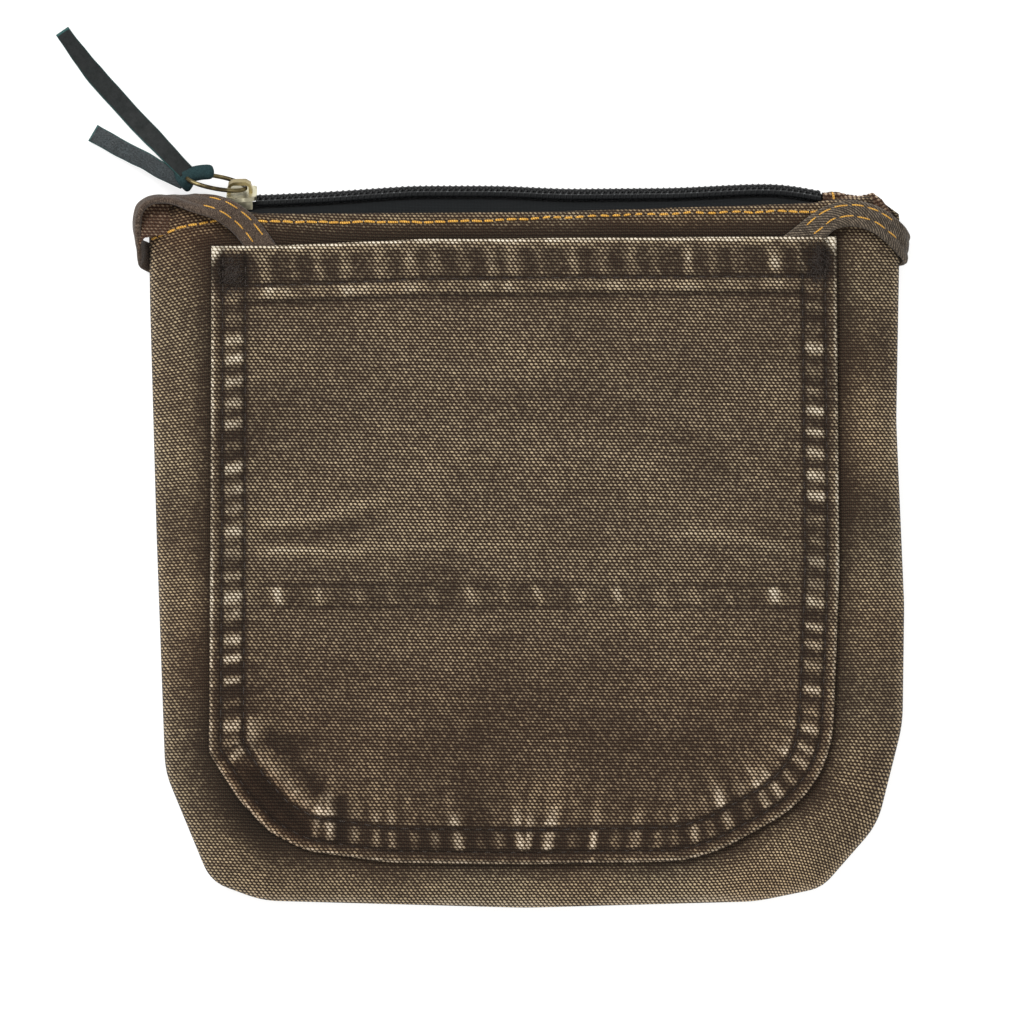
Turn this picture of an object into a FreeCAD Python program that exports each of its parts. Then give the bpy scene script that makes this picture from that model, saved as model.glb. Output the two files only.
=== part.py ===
"""Zippered pouch of duck canvas: a patch pocket, two belt loops, a coil zip and a leather pull.

The pouch lies flat on its back. +X is to the right, +Y towards the zip and +Z up through the
thickness, in millimetres.
The origin is on the resting face, in the middle of the bag's width and height.
"""

import FreeCAD
import Part
import math
import os

from FreeCAD import Placement, Rotation, Vector

DIMENSIONS = [
    ("canvas_thick", 0.9),
    ("lining_thick", 0.3),
    ("tape_thick", 0.5),
    ("seam_level", 3.0),
    ("front_level", 11.0),
    ("front_shoulder", 13.0),
    ("back_shoulder", 12.0),
    ("mouth_front", 85.4),
    ("mouth_back", 88.2),
    ("mouth_tilt", 0.9),
    ("lining_gap", 0.8),
    ("pocket_gap", 1.4),
    ("pocket_rim", 7.0),
    ("stitch_thick", 0.35),
    ("stitch_wide", 0.7),
    ("strap_wide", 6.8),
    ("chain_across", 88.5),
    ("chain_level", 6.4),
    ("chain_lean", 25.0),
    ("chain_left", -71.2),
    ("chain_right", 74.0),
    ("lip_reach", 4.4),  # how far the tape shows from the middle of the chain to the fold
    ("coil_wide", 2.9),
    ("coil_thick", 2.3),
    ("slider_left", -75.6),
    ("slider_long", 8.4),
    ("slider_wide", 9.0),
    ("plate_thick", 1.0),
    ("ring_long", 16.0),
    ("ring_wide", 9.4),
    ("wire_thick", 1.1),
    ("leather_wide", 4.8),
    ("leather_thick", 1.3),
]

doc = FreeCAD.newDocument("pouch")
sheet = doc.addObject("Spreadsheet::Sheet", "Dimensions")
for row, (alias, value) in enumerate(DIMENSIONS, start=1):
    sheet.set(f"A{row}", alias)
    sheet.set(f"B{row}", str(value))
    sheet.setAlias(f"B{row}", alias)
doc.recompute()


def size(alias):
    return float(getattr(sheet, alias))


def bind(obj, **cells):
    """Bind properties of an object to cells or sums of cells of the sheet."""
    for prop, text in cells.items():
        obj.setExpression(prop, text)


SUBPARTS = []


def keep(obj, label):
    obj.Label = label
    SUBPARTS.append(obj)
    return obj


def feature(name, shape):
    obj = doc.addObject("Part::Feature", name)
    obj.Shape = shape
    return obj


# Outlines -----------------------------------------------------------------------------------

BEYOND_MOUTH = 110.0  # the panels are drawn past the mouth and cut there
BAG_CORNERS = [
    (-94.5, BEYOND_MOUTH, 0),
    (-93.6, 20, 60),
    (-90.3, -57, 40),
    (-77.5, -86, 20),
    (0, -90.2, 90),
    (66, -88.5, 24),
    (86.5, -70.5, 22),
    (93.9, -46, 40),
    (94.6, BEYOND_MOUTH, 0),
]
POCKET_CORNERS = [
    (-78.4, 75.5, 0),
    (-78.6, 0, 80),
    (-79.0, -51, 5),
    (-71.6, -62.6, 20),
    (-64.2, -70.6, 14),
    (-55, -75.4, 16),
    (-38, -78.3, 40),
    (0, -78.9, 60),
    (46, -77, 40),
    (74, -54, 26),
    (78.6, -10, 50),
    (77.7, 78.4, 0),
]


def rounded(corners, level=0.0):
    """A closed wire through the corners, each rounded to its own radius by an arc."""
    arcs = []
    count = len(corners)
    for i, (x, y, radius) in enumerate(corners):
        at = Vector(x, y, level)
        if not radius:
            arcs.append((at, at, at))
            continue
        before = Vector(*corners[i - 1][:2], level) - at
        after = Vector(*corners[(i + 1) % count][:2], level) - at
        half = before.getAngle(after) / 2
        reach = min(radius / math.tan(half), 0.45 * before.Length, 0.45 * after.Length)
        start = at + before.normalize() * reach
        finish = at + after.normalize() * reach
        bisector = (before + after).normalize()
        tight = reach * math.tan(half)
        middle = at + bisector * (tight / math.sin(half) - tight)
        arcs.append((start, middle, finish))
    edges = []
    for i, (start, middle, finish) in enumerate(arcs):
        if start != finish:
            edges.append(Part.Arc(start, middle, finish).toShape())
        following = arcs[(i + 1) % count][0]
        edges.append(Part.LineSegment(finish, following).toShape())
    return Part.Wire(edges)


bag_outline = feature("BagOutline", rounded(BAG_CORNERS))
pocket_outline = feature("PocketOutline", rounded(POCKET_CORNERS))


def ring_section(name, source, level, inset):
    """The outline drawn again at a level, inside the source by inset. Both are expressions of cells."""
    section = doc.addObject("Part::Offset2D", name)
    section.Source = source
    section.Join = 2
    bind(section, Value=f"-1 * ({inset})")
    section.setExpression("Placement.Base.z", level)
    return section


def dome(name, foot_level, foot_inset, top_level, top_inset):
    """A solid between two sections of the bag's outline, with straight sloping sides."""
    foot = ring_section(name + "Foot", bag_outline, foot_level, foot_inset)
    top = ring_section(name + "Top", bag_outline, top_level, top_inset)
    loft = doc.addObject("Part::Loft", name)
    loft.Sections = [foot, top]
    loft.Solid = True
    loft.Ruled = True
    return loft


def mouth_cutter(name, edge):
    """Everything past the line across the mouth, which runs a little uphill to the right."""
    cutter = doc.addObject("Part::Box", name)
    cutter.Length = 260
    cutter.Width = 60
    cutter.Height = 40
    tilt = Rotation(Vector(0, 0, 1), size("mouth_tilt"))
    cutter.Placement = Placement(tilt.multVec(Vector(-130, edge, -10)), tilt)
    return cutter


def cut(name, base, tool):
    result = doc.addObject("Part::Cut", name)
    result.Base = base
    result.Tool = tool
    return result


# Canvas panels and lining -------------------------------------------------------------------

SKIN = 0.05  # clearance left between neighbouring layers
LINING_BELOW_MOUTH = 3.0
lining_edge = size("mouth_front") - LINING_BELOW_MOUTH


def shell(name, label, outer, inner, edge):
    hollow = cut(name + "Hollow", outer, inner)
    keep(cut(name, hollow, mouth_cutter(name + "Mouth", edge)), label)


front_outer = dome(
    "FrontOuter",
    "Dimensions.seam_level",
    "0.01",
    "Dimensions.front_level",
    "Dimensions.front_shoulder",
)
front_inner = dome(
    "FrontInner",
    "Dimensions.seam_level",
    "1.8 * Dimensions.canvas_thick",
    "Dimensions.front_level - Dimensions.canvas_thick",
    "Dimensions.front_shoulder + 0.6 * Dimensions.canvas_thick",
)
shell("FrontPanel", "front_panel", front_outer, front_inner, size("mouth_front"))

back_outer = dome("BackOuter", "Dimensions.seam_level", "0.01", "0", "Dimensions.back_shoulder")
back_inner = dome(
    "BackInner",
    "Dimensions.seam_level",
    "3.5 * Dimensions.canvas_thick",
    "Dimensions.canvas_thick",
    "Dimensions.back_shoulder + 0.4 * Dimensions.canvas_thick",
)
shell("BackPanel", "back_panel", back_outer, back_inner, size("mouth_back"))

lining_front_outer = dome(
    "LiningFrontOuter",
    "Dimensions.seam_level + 0.3",
    "Dimensions.canvas_thick + 2.4",
    "Dimensions.front_level - Dimensions.canvas_thick - Dimensions.lining_gap",
    "Dimensions.front_shoulder + 1.6",
)
lining_front_inner = dome(
    "LiningFrontInner",
    "Dimensions.seam_level + 0.3",
    "Dimensions.canvas_thick + 2.4 + 2 * Dimensions.lining_thick",
    "Dimensions.front_level - Dimensions.canvas_thick - Dimensions.lining_gap - Dimensions.lining_thick",
    "Dimensions.front_shoulder + 1.6 + 0.6 * Dimensions.lining_thick",
)
shell("LiningFront", "lining_front", lining_front_outer, lining_front_inner, lining_edge)

lining_back_outer = dome(
    "LiningBackOuter",
    "Dimensions.seam_level",
    "4 * Dimensions.canvas_thick + 1.2",
    "Dimensions.canvas_thick + Dimensions.lining_gap",
    "Dimensions.back_shoulder + 1.4",
)
lining_back_inner = dome(
    "LiningBackInner",
    "Dimensions.seam_level",
    "4 * Dimensions.canvas_thick + 1.2 + 3 * Dimensions.lining_thick",
    "Dimensions.canvas_thick + Dimensions.lining_gap + Dimensions.lining_thick",
    "Dimensions.back_shoulder + 1.4 + 0.6 * Dimensions.lining_thick",
)
shell("LiningBack", "lining_back", lining_back_outer, lining_back_inner, lining_edge)


# Patch pocket: a flat plate on a sewn rim that goes round its sides and bottom, open at the top

plate_level = size("front_level") + SKIN
plate_top = plate_level + size("pocket_gap") + size("canvas_thick")


def pocket_layer(name, inset, low, high):
    layer = doc.addObject("Part::Extrusion", name)
    if inset:
        layer.Base = ring_section(name + "Line", pocket_outline, "0", inset)
    else:
        layer.Base = pocket_outline
    layer.Dir = Vector(0, 0, 1)
    layer.DirMode = "Custom"
    layer.Solid = True
    layer.LengthFwd = high - low
    layer.Placement = Placement(Vector(0, 0, low), Rotation())
    return layer


pocket_block = pocket_layer("PocketBlock", None, plate_level, plate_top)
pocket_space = pocket_layer(
    "PocketSpace", "Dimensions.pocket_rim", plate_level - 1, plate_top - size("canvas_thick")
)
mouth_gap = doc.addObject("Part::Box", "PocketMouthGap")
bind(mouth_gap, Length="2 * 77.7 - 2 * Dimensions.pocket_rim", Height="Dimensions.pocket_gap + 1")
mouth_gap.Width = 30
mouth_gap.Placement = Placement(
    Vector(-77.7 + size("pocket_rim"), 60, plate_level - 1), Rotation(Vector(0, 0, 1), 0)
)
pocket_room = doc.addObject("Part::MultiFuse", "PocketRoom")
pocket_room.Shapes = [pocket_space, mouth_gap]
pocket_solid = keep(cut("PatchPocket", pocket_block, pocket_room), "patch_pocket")


# Rows of stitches: thin ribbons lying on the cloth --------------------------------------------


def ribbon(name, label, lines, level):
    """Flat ribbons, each along one line of points, joined by their own lengths as separate solids."""
    wide, thick = size("stitch_wide"), size("stitch_thick")
    solids = []
    for line in lines:
        for (x1, y1), (x2, y2) in zip(line, line[1:]):
            along = Vector(x2 - x1, y2 - y1, 0)
            length = along.Length - 0.3
            bar = Part.makeBox(length, wide, thick, Vector(0.15, -wide / 2, 0))
            bar.Placement = Placement(Vector(x1, y1, level), Rotation(Vector(1, 0, 0), along))
            solids.append(bar)
    keep(feature(name, Part.makeCompound(solids)), label)


def inside_pocket(inset):
    """Points along the pocket's sides and bottom, inside its edge."""
    wire = pocket_outline.Shape.makeOffset2D(-inset, 2)
    loop = wire.discretize(72)
    return [(p.x, p.y) for p in loop if p.y < 66]


def row_round_pocket(inset):
    points = inside_pocket(inset)
    turn = max(range(len(points)), key=lambda i: abs(points[i][0] - points[i - 1][0]))
    return points[turn:] + points[:turn]


OUTER_ROW, INNER_ROW = 2.6, 8.0
ribbon("PocketRowOuter", "pocket_stitch_outer", [row_round_pocket(OUTER_ROW)], plate_top + SKIN)
ribbon("PocketRowInner", "pocket_stitch_inner", [row_round_pocket(INNER_ROW)], plate_top + SKIN)
HEM_ROW = [(-70, 67.0), (-35, 67.6), (0, 68.2), (35, 68.8), (69.5, 69.4)]
ribbon("PocketHemRow", "pocket_hem_stitch", [HEM_ROW], plate_top + SKIN)

FRONT_TOPSTITCH = [(-62, 81.6), (-27, 82), (5, 82.6), (28, 83.4), (54, 84.0), (68, 84.2)]
ribbon("FrontTopstitch", "topstitch_front", [FRONT_TOPSTITCH], size("front_level") + SKIN)
bar_tack_places = [(-74.5, 68.5), (73.6, 71.5)]
tacks = []
for x, y in bar_tack_places:
    tack = Part.makeBox(4.5, 9, size("stitch_thick"))
    tack_level = plate_top + size("stitch_thick") + 2 * SKIN
    tack.Placement = Placement(Vector(x - 2.2, y - 5.5, tack_level), Rotation())
    tacks.append(tack)
keep(feature("BarTacks", Part.makeCompound(tacks)), "bar_tacks")


# Belt loops: flat straps that leave the pocket's mouth, go over a top corner and end on the back

LEFT_LOOP = [
    # centre x, y, z, the width direction, then the thickness
    (-62.0, 69.9, 11.78, 0.76, 0.65, 0.0, 1.2),
    (-64.4, 73.2, 11.78, 0.76, 0.65, 0.0, 1.2),
    (-67.3, 77.4, 11.78, 0.75, 0.66, 0.0, 1.2),
    (-70.9, 81.6, 12.8, 0.70, 0.68, -0.20, 1.5),
    (-75.7, 84.8, 14.1, 0.46, 0.80, -0.38, 1.7),
    (-81.3, 86.3, 13.2, 0.12, 0.70, -0.70, 1.7),
    (-87.6, 87.4, 10.7, -0.03, 0.22, -0.97, 1.8),
    (-93.4, 87.3, 8.6, -0.20, 0.15, -0.97, 1.8),
    (-96.5, 85.1, 7.5, -0.22, 0.10, -0.97, 1.8),
    (-97.3, 81.4, 6.6, -0.15, 0.05, -0.98, 1.8),
    (-97.0, 78.0, 5.5, -0.05, 0.25, -0.96, 1.7),
    (-96.4, 75.3, 3.9, 0.10, 0.65, -0.75, 1.5),
    (-95.3, 73.7, 1.95, 0.45, 0.85, -0.28, 1.2),
    (-93.4, 72.7, 0.85, 0.45, 0.89, 0.0, 1.2),
    (-91.0, 71.5, 0.72, 0.45, 0.89, 0.0, 1.2),
]
RIGHT_LOOP = [
    (61.9, 71.9, 11.78, -0.52, 0.85, 0.0, 1.2),
    (65.9, 74.9, 11.78, -0.56, 0.83, 0.0, 1.2),
    (69.8, 77.9, 11.8, -0.54, 0.84, 0.0, 1.2),
    (73.3, 80.7, 12.1, -0.42, 0.90, -0.06, 1.3),
    (76.8, 82.9, 13.3, -0.18, 0.92, -0.34, 1.6),
    (81.8, 83.8, 13.1, 0.06, 0.96, -0.26, 1.8),
    (87.2, 82.5, 11.9, 0.30, 0.91, -0.26, 1.8),
    (91.4, 79.9, 9.5, 0.42, 0.87, -0.24, 1.7),
    (94.6, 76.9, 6.2, 0.30, 0.94, -0.16, 1.5),
    (95.7, 75.2, 3.2, 0.10, 0.99, 0.0, 1.3),
    (94.9, 74.7, 1.35, 0.10, 0.99, 0.0, 1.2),
    (92.4, 74.3, 0.72, 0.10, 0.99, 0.0, 1.2),
    (89.6, 74.0, 0.72, 0.10, 0.99, 0.0, 1.2),
]


def strap_frames(rows):
    """Centre, width direction and face normal of each row of a strap, square to its path."""
    centres = [Vector(*row[:3]) for row in rows]
    frames = []
    for i, row in enumerate(rows):
        ahead = centres[min(i + 1, len(rows) - 1)] - centres[max(i - 1, 0)]
        ahead.normalize()
        width = Vector(*row[3:6])
        width = (width - ahead * width.dot(ahead)).normalize()
        frames.append((centres[i], width, width.cross(ahead).normalize()))
    return frames


def strap(name, label, rows):
    """A band lofted through one rectangle for each row, trimmed where the pocket is sewn over it."""
    half_wide = size("strap_wide") / 2
    sections = []
    for row, (centre, width, normal) in zip(rows, strap_frames(rows)):
        half_thick = row[6] / 2
        corners = [
            centre + width * (a * half_wide) + normal * (b * half_thick)
            for a, b in ((-1, -1), (1, -1), (1, 1), (-1, 1), (-1, -1))
        ]
        sections.append(Part.makePolygon(corners))
    band = feature(name + "Band", Part.makeLoft(sections, True, True))
    keep(cut(name, band, pocket_solid), label)


strap("LeftLoop", "left_loop", LEFT_LOOP)
strap("RightLoop", "right_loop", RIGHT_LOOP)


# Zip: built along X with its outer face up, then leaned and carried to the mouth ---------------

tilt_turn = Rotation(Vector(0, 0, 1), size("mouth_tilt"))
lean_turn = Rotation(Vector(1, 0, 0), size("chain_lean") - 90)
ZIP_PLACE = Placement(
    Vector(0, size("chain_across"), size("chain_level")), tilt_turn.multiply(lean_turn)
)
MID_GAP = 0.05
TAPE_GAP = 0.04
TAPE_SEWN = 9.0  # how deep the tape is caught under the canvas


def zip_box(name, label, x, y, z, long, wide, tall):
    """A box given in the zip's own directions, with its sizes as expressions."""
    box = doc.addObject("Part::Box", name)
    bind(box, Length=long, Width=wide, Height=tall)
    box.Placement = ZIP_PLACE.multiply(Placement(Vector(x, y, z), Rotation()))
    return keep(box, label) if label else box


chain_span = "Dimensions.chain_right - Dimensions.chain_left"
half_coil = size("coil_thick") / 2
tape_low = -half_coil - TAPE_GAP - size("tape_thick")
left, right = size("chain_left"), size("chain_right")
zip_box(
    "CoilBack",
    "zipper_coil_back",
    left,
    MID_GAP,
    -half_coil,
    chain_span,
    "Dimensions.coil_wide",
    "Dimensions.coil_thick",
)
zip_box(
    "CoilFront",
    "zipper_coil_front",
    left,
    -MID_GAP - size("coil_wide"),
    -half_coil,
    chain_span,
    "Dimensions.coil_wide",
    "Dimensions.coil_thick",
)
zip_box(
    "TapeBack",
    "zipper_tape_back",
    left,
    MID_GAP,
    tape_low,
    chain_span,
    "Dimensions.lip_reach",
    "Dimensions.tape_thick",
)
zip_box(
    "TapeFront",
    "zipper_tape_front",
    left,
    -MID_GAP - size("lip_reach"),
    tape_low,
    chain_span,
    "Dimensions.lip_reach",
    "Dimensions.tape_thick",
)


def along_mouth(x, y, z):
    """A placement on a line that runs a little uphill to the right, as the mouth does."""
    rise = x * math.tan(math.radians(size("mouth_tilt")))
    return Placement(Vector(x, y + rise, z), tilt_turn)


def sewn_tape(name, label, edge, below, level):
    box = doc.addObject("Part::Box", name)
    bind(box, Length=chain_span, Height="Dimensions.tape_thick")
    box.Width = TAPE_SEWN
    box.Placement = along_mouth(left, size(edge) - TAPE_SEWN - below, level)
    keep(box, label)


under_front = size("front_level") - size("canvas_thick") - 0.65
over_back = size("canvas_thick") + 0.15
sewn_tape("TapeFrontSewn", "zipper_tape_front_sewn", "mouth_front", 1.2, under_front)
sewn_tape("TapeBackSewn", "zipper_tape_back_sewn", "mouth_back", 0.4, over_back)


def end_tab(name, label, x, long, low, tall, deep):
    """Folded canvas that closes the bag beyond one end of the zip."""
    box = doc.addObject("Part::Box", name)
    box.Length, box.Width, box.Height = long, deep, tall
    box.Placement = along_mouth(x, size("mouth_front") + SKIN, low)
    keep(box, label)


end_tab("EndTabLeft", "zip_end_tab_left", -89.5, 12.6, 3.4, 4.6, 2.4)
end_tab("EndTabRight", "zip_end_tab_right", 75.3, 12.5, 2.4, 7.0, 2.9)

# Slider: two plates joined by a wedge at the nose, with side lips and an arched bridge -----------

channel_low = tape_low - 0.2
channel_high = half_coil + 0.2
nose = size("slider_left")
plate = size("plate_thick")
outer_half = size("slider_wide") / 2
INNER_HALF = 3.7
TAIL_NARROWER = 0.6
LIP_WALL = 0.75
NOSE_WEDGE = 3.4


def slider_plate(half_slider, low):
    """A flat plate whose nose is wider than its tail."""
    tail_half = half_slider - TAIL_NARROWER
    long = size("slider_long")
    corners = [
        (nose + 0.9, -half_slider + 1.0),
        (nose + 2.2, -half_slider),
        (nose + 4.8, -half_slider),
        (nose + long - 0.5, -tail_half),
        (nose + long, -tail_half + 0.6),
        (nose + long, tail_half - 0.6),
        (nose + long - 0.5, tail_half),
        (nose + 4.8, half_slider),
        (nose + 2.2, half_slider),
        (nose + 0.9, half_slider - 1.0),
    ]
    points = [Vector(x, y, low) for x, y in corners]
    outline = Part.makePolygon(points + points[:1])
    return Part.Face(outline).extrude(Vector(0, 0, plate))


def slider_shape():
    outer = slider_plate(outer_half, channel_high)
    inner = slider_plate(INNER_HALF, channel_low - plate)
    wedge = Part.makeBox(NOSE_WEDGE - 1.2, 1.6, channel_high - channel_low, Vector(nose + 1.2, -0.8, channel_low))
    lips = []
    lip_low = tape_low + size("tape_thick") + 0.25
    for side in (-1, 1):
        lip = Part.makeBox(
            size("slider_long") - 4.4,
            LIP_WALL,
            channel_high - lip_low,
            Vector(nose + 3.4, side * (outer_half - TAIL_NARROWER - LIP_WALL / 2) - LIP_WALL / 2, lip_low),
        )
        lips.append(lip)
    return outer.multiFuse([inner, wedge] + lips).removeSplitter()


slider = feature("SliderBody", slider_shape())
slider.Placement = ZIP_PLACE
keep(slider, "slider_body")

# Bridge: a strap arched along the slider, under which the ring's wire passes
BRIDGE_WIDE = 2.4
BRIDGE_THICK = 0.9
BRIDGE_HIGH = 3.0
bridge_foot = channel_high + plate
bridge_from, bridge_to = nose + 1.0, nose + 7.4


def arch_shape():
    low = bridge_foot + 0.01
    outer = [
        Vector(bridge_from, 0, low),
        Vector(bridge_from + 0.4, 0, low + BRIDGE_HIGH - 0.8),
        Vector(bridge_from + 1.6, 0, low + BRIDGE_HIGH),
        Vector(bridge_to - 1.6, 0, low + BRIDGE_HIGH),
        Vector(bridge_to - 0.4, 0, low + BRIDGE_HIGH - 0.8),
        Vector(bridge_to, 0, low),
    ]
    inner = [
        Vector(bridge_to - BRIDGE_THICK, 0, low),
        Vector(bridge_to - 1.0, 0, low + BRIDGE_HIGH - 1.25),
        Vector(bridge_to - 1.6, 0, low + BRIDGE_HIGH - BRIDGE_THICK),
        Vector(bridge_from + 1.6, 0, low + BRIDGE_HIGH - BRIDGE_THICK),
        Vector(bridge_from + 1.0, 0, low + BRIDGE_HIGH - 1.25),
        Vector(bridge_from + BRIDGE_THICK, 0, low),
    ]
    arch = Part.Face(Part.makePolygon(outer + inner + outer[:1]))
    arch.translate(Vector(0, -BRIDGE_WIDE / 2, 0))
    return arch.extrude(Vector(0, BRIDGE_WIDE, 0))


bridge = feature("SliderBridge", arch_shape())
bridge.Placement = ZIP_PLACE
keep(bridge, "slider_bridge")

# Pull ring: an oval of wire through the bridge, leaning a little away from the zip ----------------

RING_LEAN = 12.0
PIVOT = Vector(bridge_to - 1.85, 0, bridge_foot + 1.05)


def oval_ring(half_wire):
    """The ring lies in the plane of its own X and Y, with the bridge end at the origin and the rest on -X."""
    long, wide = size("ring_long") - size("wire_thick"), size("ring_wide") - size("wire_thick")
    centre = Vector(-long / 2, 0, 0)
    oval = Part.Ellipse(centre, long / 2, wide / 2).toShape()
    start = oval.valueAt(oval.FirstParameter)
    along = oval.tangentAt(oval.FirstParameter)
    section = Part.Wire([Part.makeCircle(half_wire, start, along)])
    return Part.Wire([oval]).makePipeShell([section], True, True)


ring_turn = Rotation(Vector(0, 1, 0), RING_LEAN)
RING_PLACE = ZIP_PLACE.multiply(Placement(PIVOT, ring_turn))
ring = feature("PullRing", oval_ring(size("wire_thick") / 2))
ring.Placement = RING_PLACE
keep(ring, "pull_ring")

# Leather pull: a knot round the ring's far end, and two tails that droop to the surface below ------

KNOT_LONG, KNOT_WIDE, KNOT_TALL = 6.2, 5.2, 3.6
KNOT_PAST_RING = 1.6
ring_far = size("wire_thick") - size("ring_long")
knot_block = Part.makeBox(
    KNOT_LONG, KNOT_WIDE, KNOT_TALL, Vector(ring_far - KNOT_PAST_RING, -KNOT_WIDE / 2, -KNOT_TALL / 2)
)
knot_block = knot_block.makeFillet(1.2, knot_block.Edges)
knot = feature("PullHitch", knot_block.cut(oval_ring(size("wire_thick") / 2 + SKIN)))
knot.Placement = RING_PLACE
keep(knot, "pull_hitch")

# Tails: two flat strips that leave the knot and droop to the surface below -------------------------

LONG_TAIL = [
    (-86.8, 96.4, 9.3),
    (-91.8, 101.4, 6.8),
    (-96.4, 106.4, 3.6),
    (-101.6, 111.9, 1.6),
    (-106.4, 117.2, 1.0),
    (-111.8, 123.6, 0.8),
    (-116.4, 130.3, 0.8),
]
SHORT_TAIL = [
    (-87.8, 93.0, 7.6),
    (-92.6, 95.8, 5.9),
    (-97.6, 98.6, 3.8),
    (-103.2, 101.4, 1.8),
    (-108.6, 104.6, 0.9),
]


def leather_strip(name, label, route):
    """A flat strip along a route of points, its face up."""
    half_wide, half_thick = size("leather_wide") / 2, size("leather_thick") / 2
    points = [Vector(*p) for p in route]
    sections = []
    for i, at in enumerate(points):
        ahead = points[min(i + 1, len(points) - 1)] - points[max(i - 1, 0)]
        side = Vector(0, 0, 1).cross(ahead).normalize()
        up = ahead.cross(side).normalize()
        corners = [
            at + side * (a * half_wide) + up * (b * half_thick)
            for a, b in ((-1, -1), (1, -1), (1, 1), (-1, 1), (-1, -1))
        ]
        sections.append(Part.makePolygon(corners))
    keep(feature(name, Part.makeLoft(sections, True, True)), label)


leather_strip("LongTail", "pull_tail_long", LONG_TAIL)
leather_strip("ShortTail", "pull_tail_short", SHORT_TAIL)


# Checks and files -------------------------------------------------------------------------------

doc.recompute()
for obj in doc.Objects:
    if "Invalid" in obj.State or "Error" in obj.State:
        raise SystemExit(f"{obj.Name} failed: {obj.State}")
os.makedirs("parts", exist_ok=True)
whole = FreeCAD.BoundBox()
for obj in SUBPARTS:
    shape = obj.Shape
    if shape.isNull() or not shape.isValid() or not shape.Solids:
        raise SystemExit(f"{obj.Label} has no valid solid")
    shape.exportStep(f"parts/{obj.Label}.step")
    whole.add(shape.BoundBox)
    print(f"{obj.Label:26s} {len(shape.Solids):3d} solids {shape.Volume:10.1f} mm3")
print(f"{len(SUBPARTS)} nodes, {whole.XLength:.1f} x {whole.YLength:.1f} x {whole.ZLength:.1f} mm")
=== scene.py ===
"""Looks of a zippered canvas pouch lying flat on its back, seen from straight above.

Every length below is in millimetres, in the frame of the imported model. Meshes are scaled to metres
as they are made.
"""
import math
from functools import partialmethod

import bpy
import numpy as np
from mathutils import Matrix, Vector


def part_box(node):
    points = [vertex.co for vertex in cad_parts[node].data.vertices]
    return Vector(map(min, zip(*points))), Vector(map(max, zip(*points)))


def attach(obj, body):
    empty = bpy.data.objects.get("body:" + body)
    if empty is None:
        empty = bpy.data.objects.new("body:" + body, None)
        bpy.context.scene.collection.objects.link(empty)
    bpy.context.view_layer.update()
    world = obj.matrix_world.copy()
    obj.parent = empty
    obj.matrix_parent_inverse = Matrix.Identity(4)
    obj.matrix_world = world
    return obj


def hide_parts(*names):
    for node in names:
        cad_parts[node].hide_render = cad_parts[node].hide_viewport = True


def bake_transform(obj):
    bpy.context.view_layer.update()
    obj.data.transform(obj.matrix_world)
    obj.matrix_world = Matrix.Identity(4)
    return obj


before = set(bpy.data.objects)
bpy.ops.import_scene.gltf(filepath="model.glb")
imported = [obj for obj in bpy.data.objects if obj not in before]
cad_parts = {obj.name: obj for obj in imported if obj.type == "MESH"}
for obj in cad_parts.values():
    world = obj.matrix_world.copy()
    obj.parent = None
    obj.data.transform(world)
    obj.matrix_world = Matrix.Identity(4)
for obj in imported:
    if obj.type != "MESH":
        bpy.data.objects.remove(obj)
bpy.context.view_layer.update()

MM = 0.001
UP = np.array([0.0, 0.0, 1.0])


def node_box(name):
    """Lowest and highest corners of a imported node, in millimetres."""
    low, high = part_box(name)
    return np.array(low) / MM, np.array(high) / MM


SEAM, FRONT = node_box("front_panel")[0][2], node_box("front_panel")[1][2]

# Camera, floor and light ----------------------------------------------------------------------

VIEW_CENTRE = (-3.25, 9.25)
VIEW_WIDE = 256.0
VIEW_FROM = 1600.0
SENSOR_WIDE = 36.0


def look():
    """A camera straight above, far enough away to see the bag almost flat."""
    scene = bpy.context.scene
    scene.view_settings.view_transform = "Standard"
    camera = bpy.data.objects.new("camera", bpy.data.cameras.new("camera"))
    camera.location = (VIEW_CENTRE[0] * MM, VIEW_CENTRE[1] * MM, VIEW_FROM * MM)
    camera.data.sensor_width = SENSOR_WIDE
    camera.data.lens = SENSOR_WIDE * (VIEW_FROM - FRONT) / VIEW_WIDE
    camera.data.clip_end = 10
    scene.collection.objects.link(camera)
    scene.camera = camera


def soft_light(name, place, aim, wide, power):
    lamp = bpy.data.lights.new(name, "AREA")
    lamp.shape = "DISK"
    lamp.size = wide
    lamp.energy = power
    obj = bpy.data.objects.new(name, lamp)
    obj.location = place
    obj.rotation_euler = (Vector(aim) - Vector(place)).to_track_quat("-Z", "Y").to_euler()
    bpy.context.scene.collection.objects.link(obj)


def studio():
    """A sky that darkens towards the ground, two soft lamps, and a pale floor that shines a little."""
    world = bpy.data.worlds.new("world")
    world.use_nodes = True
    sky = world.node_tree.nodes["Background"]
    up = world.node_tree.nodes.new("ShaderNodeTexCoord")
    parts = world.node_tree.nodes.new("ShaderNodeSeparateXYZ")
    fade = world.node_tree.nodes.new("ShaderNodeMapRange")
    for socket, value in zip(fade.inputs[1:5], (0.0, 0.75, 0.16, 1.0)):
        socket.default_value = value
    world.node_tree.links.new(up.outputs["Generated"], parts.inputs[0])
    world.node_tree.links.new(parts.outputs[2], fade.inputs[0])
    world.node_tree.links.new(fade.outputs[0], sky.inputs[0])
    sky.inputs[1].default_value = 0.78
    bpy.context.scene.world = world
    soft_light("key", (-0.75, 0.85, 1.15), (0, 0, 0), 0.55, 19)
    soft_light("fill", (0.9, -0.5, 1.3), (0, 0, 0), 1.2, 6)
    bpy.ops.mesh.primitive_plane_add(size=6, location=(0, 0, -0.0001))
    floor = bpy.context.active_object
    floor.name = "floor"
    g = Graph("floor_white")
    g.finish((0.30, 0.30, 0.295, 1), roughness=0.9, Emission_Color=(1, 1, 1, 1), Emission_Strength=0.80)
    floor.data.materials.append(g.material)


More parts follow.
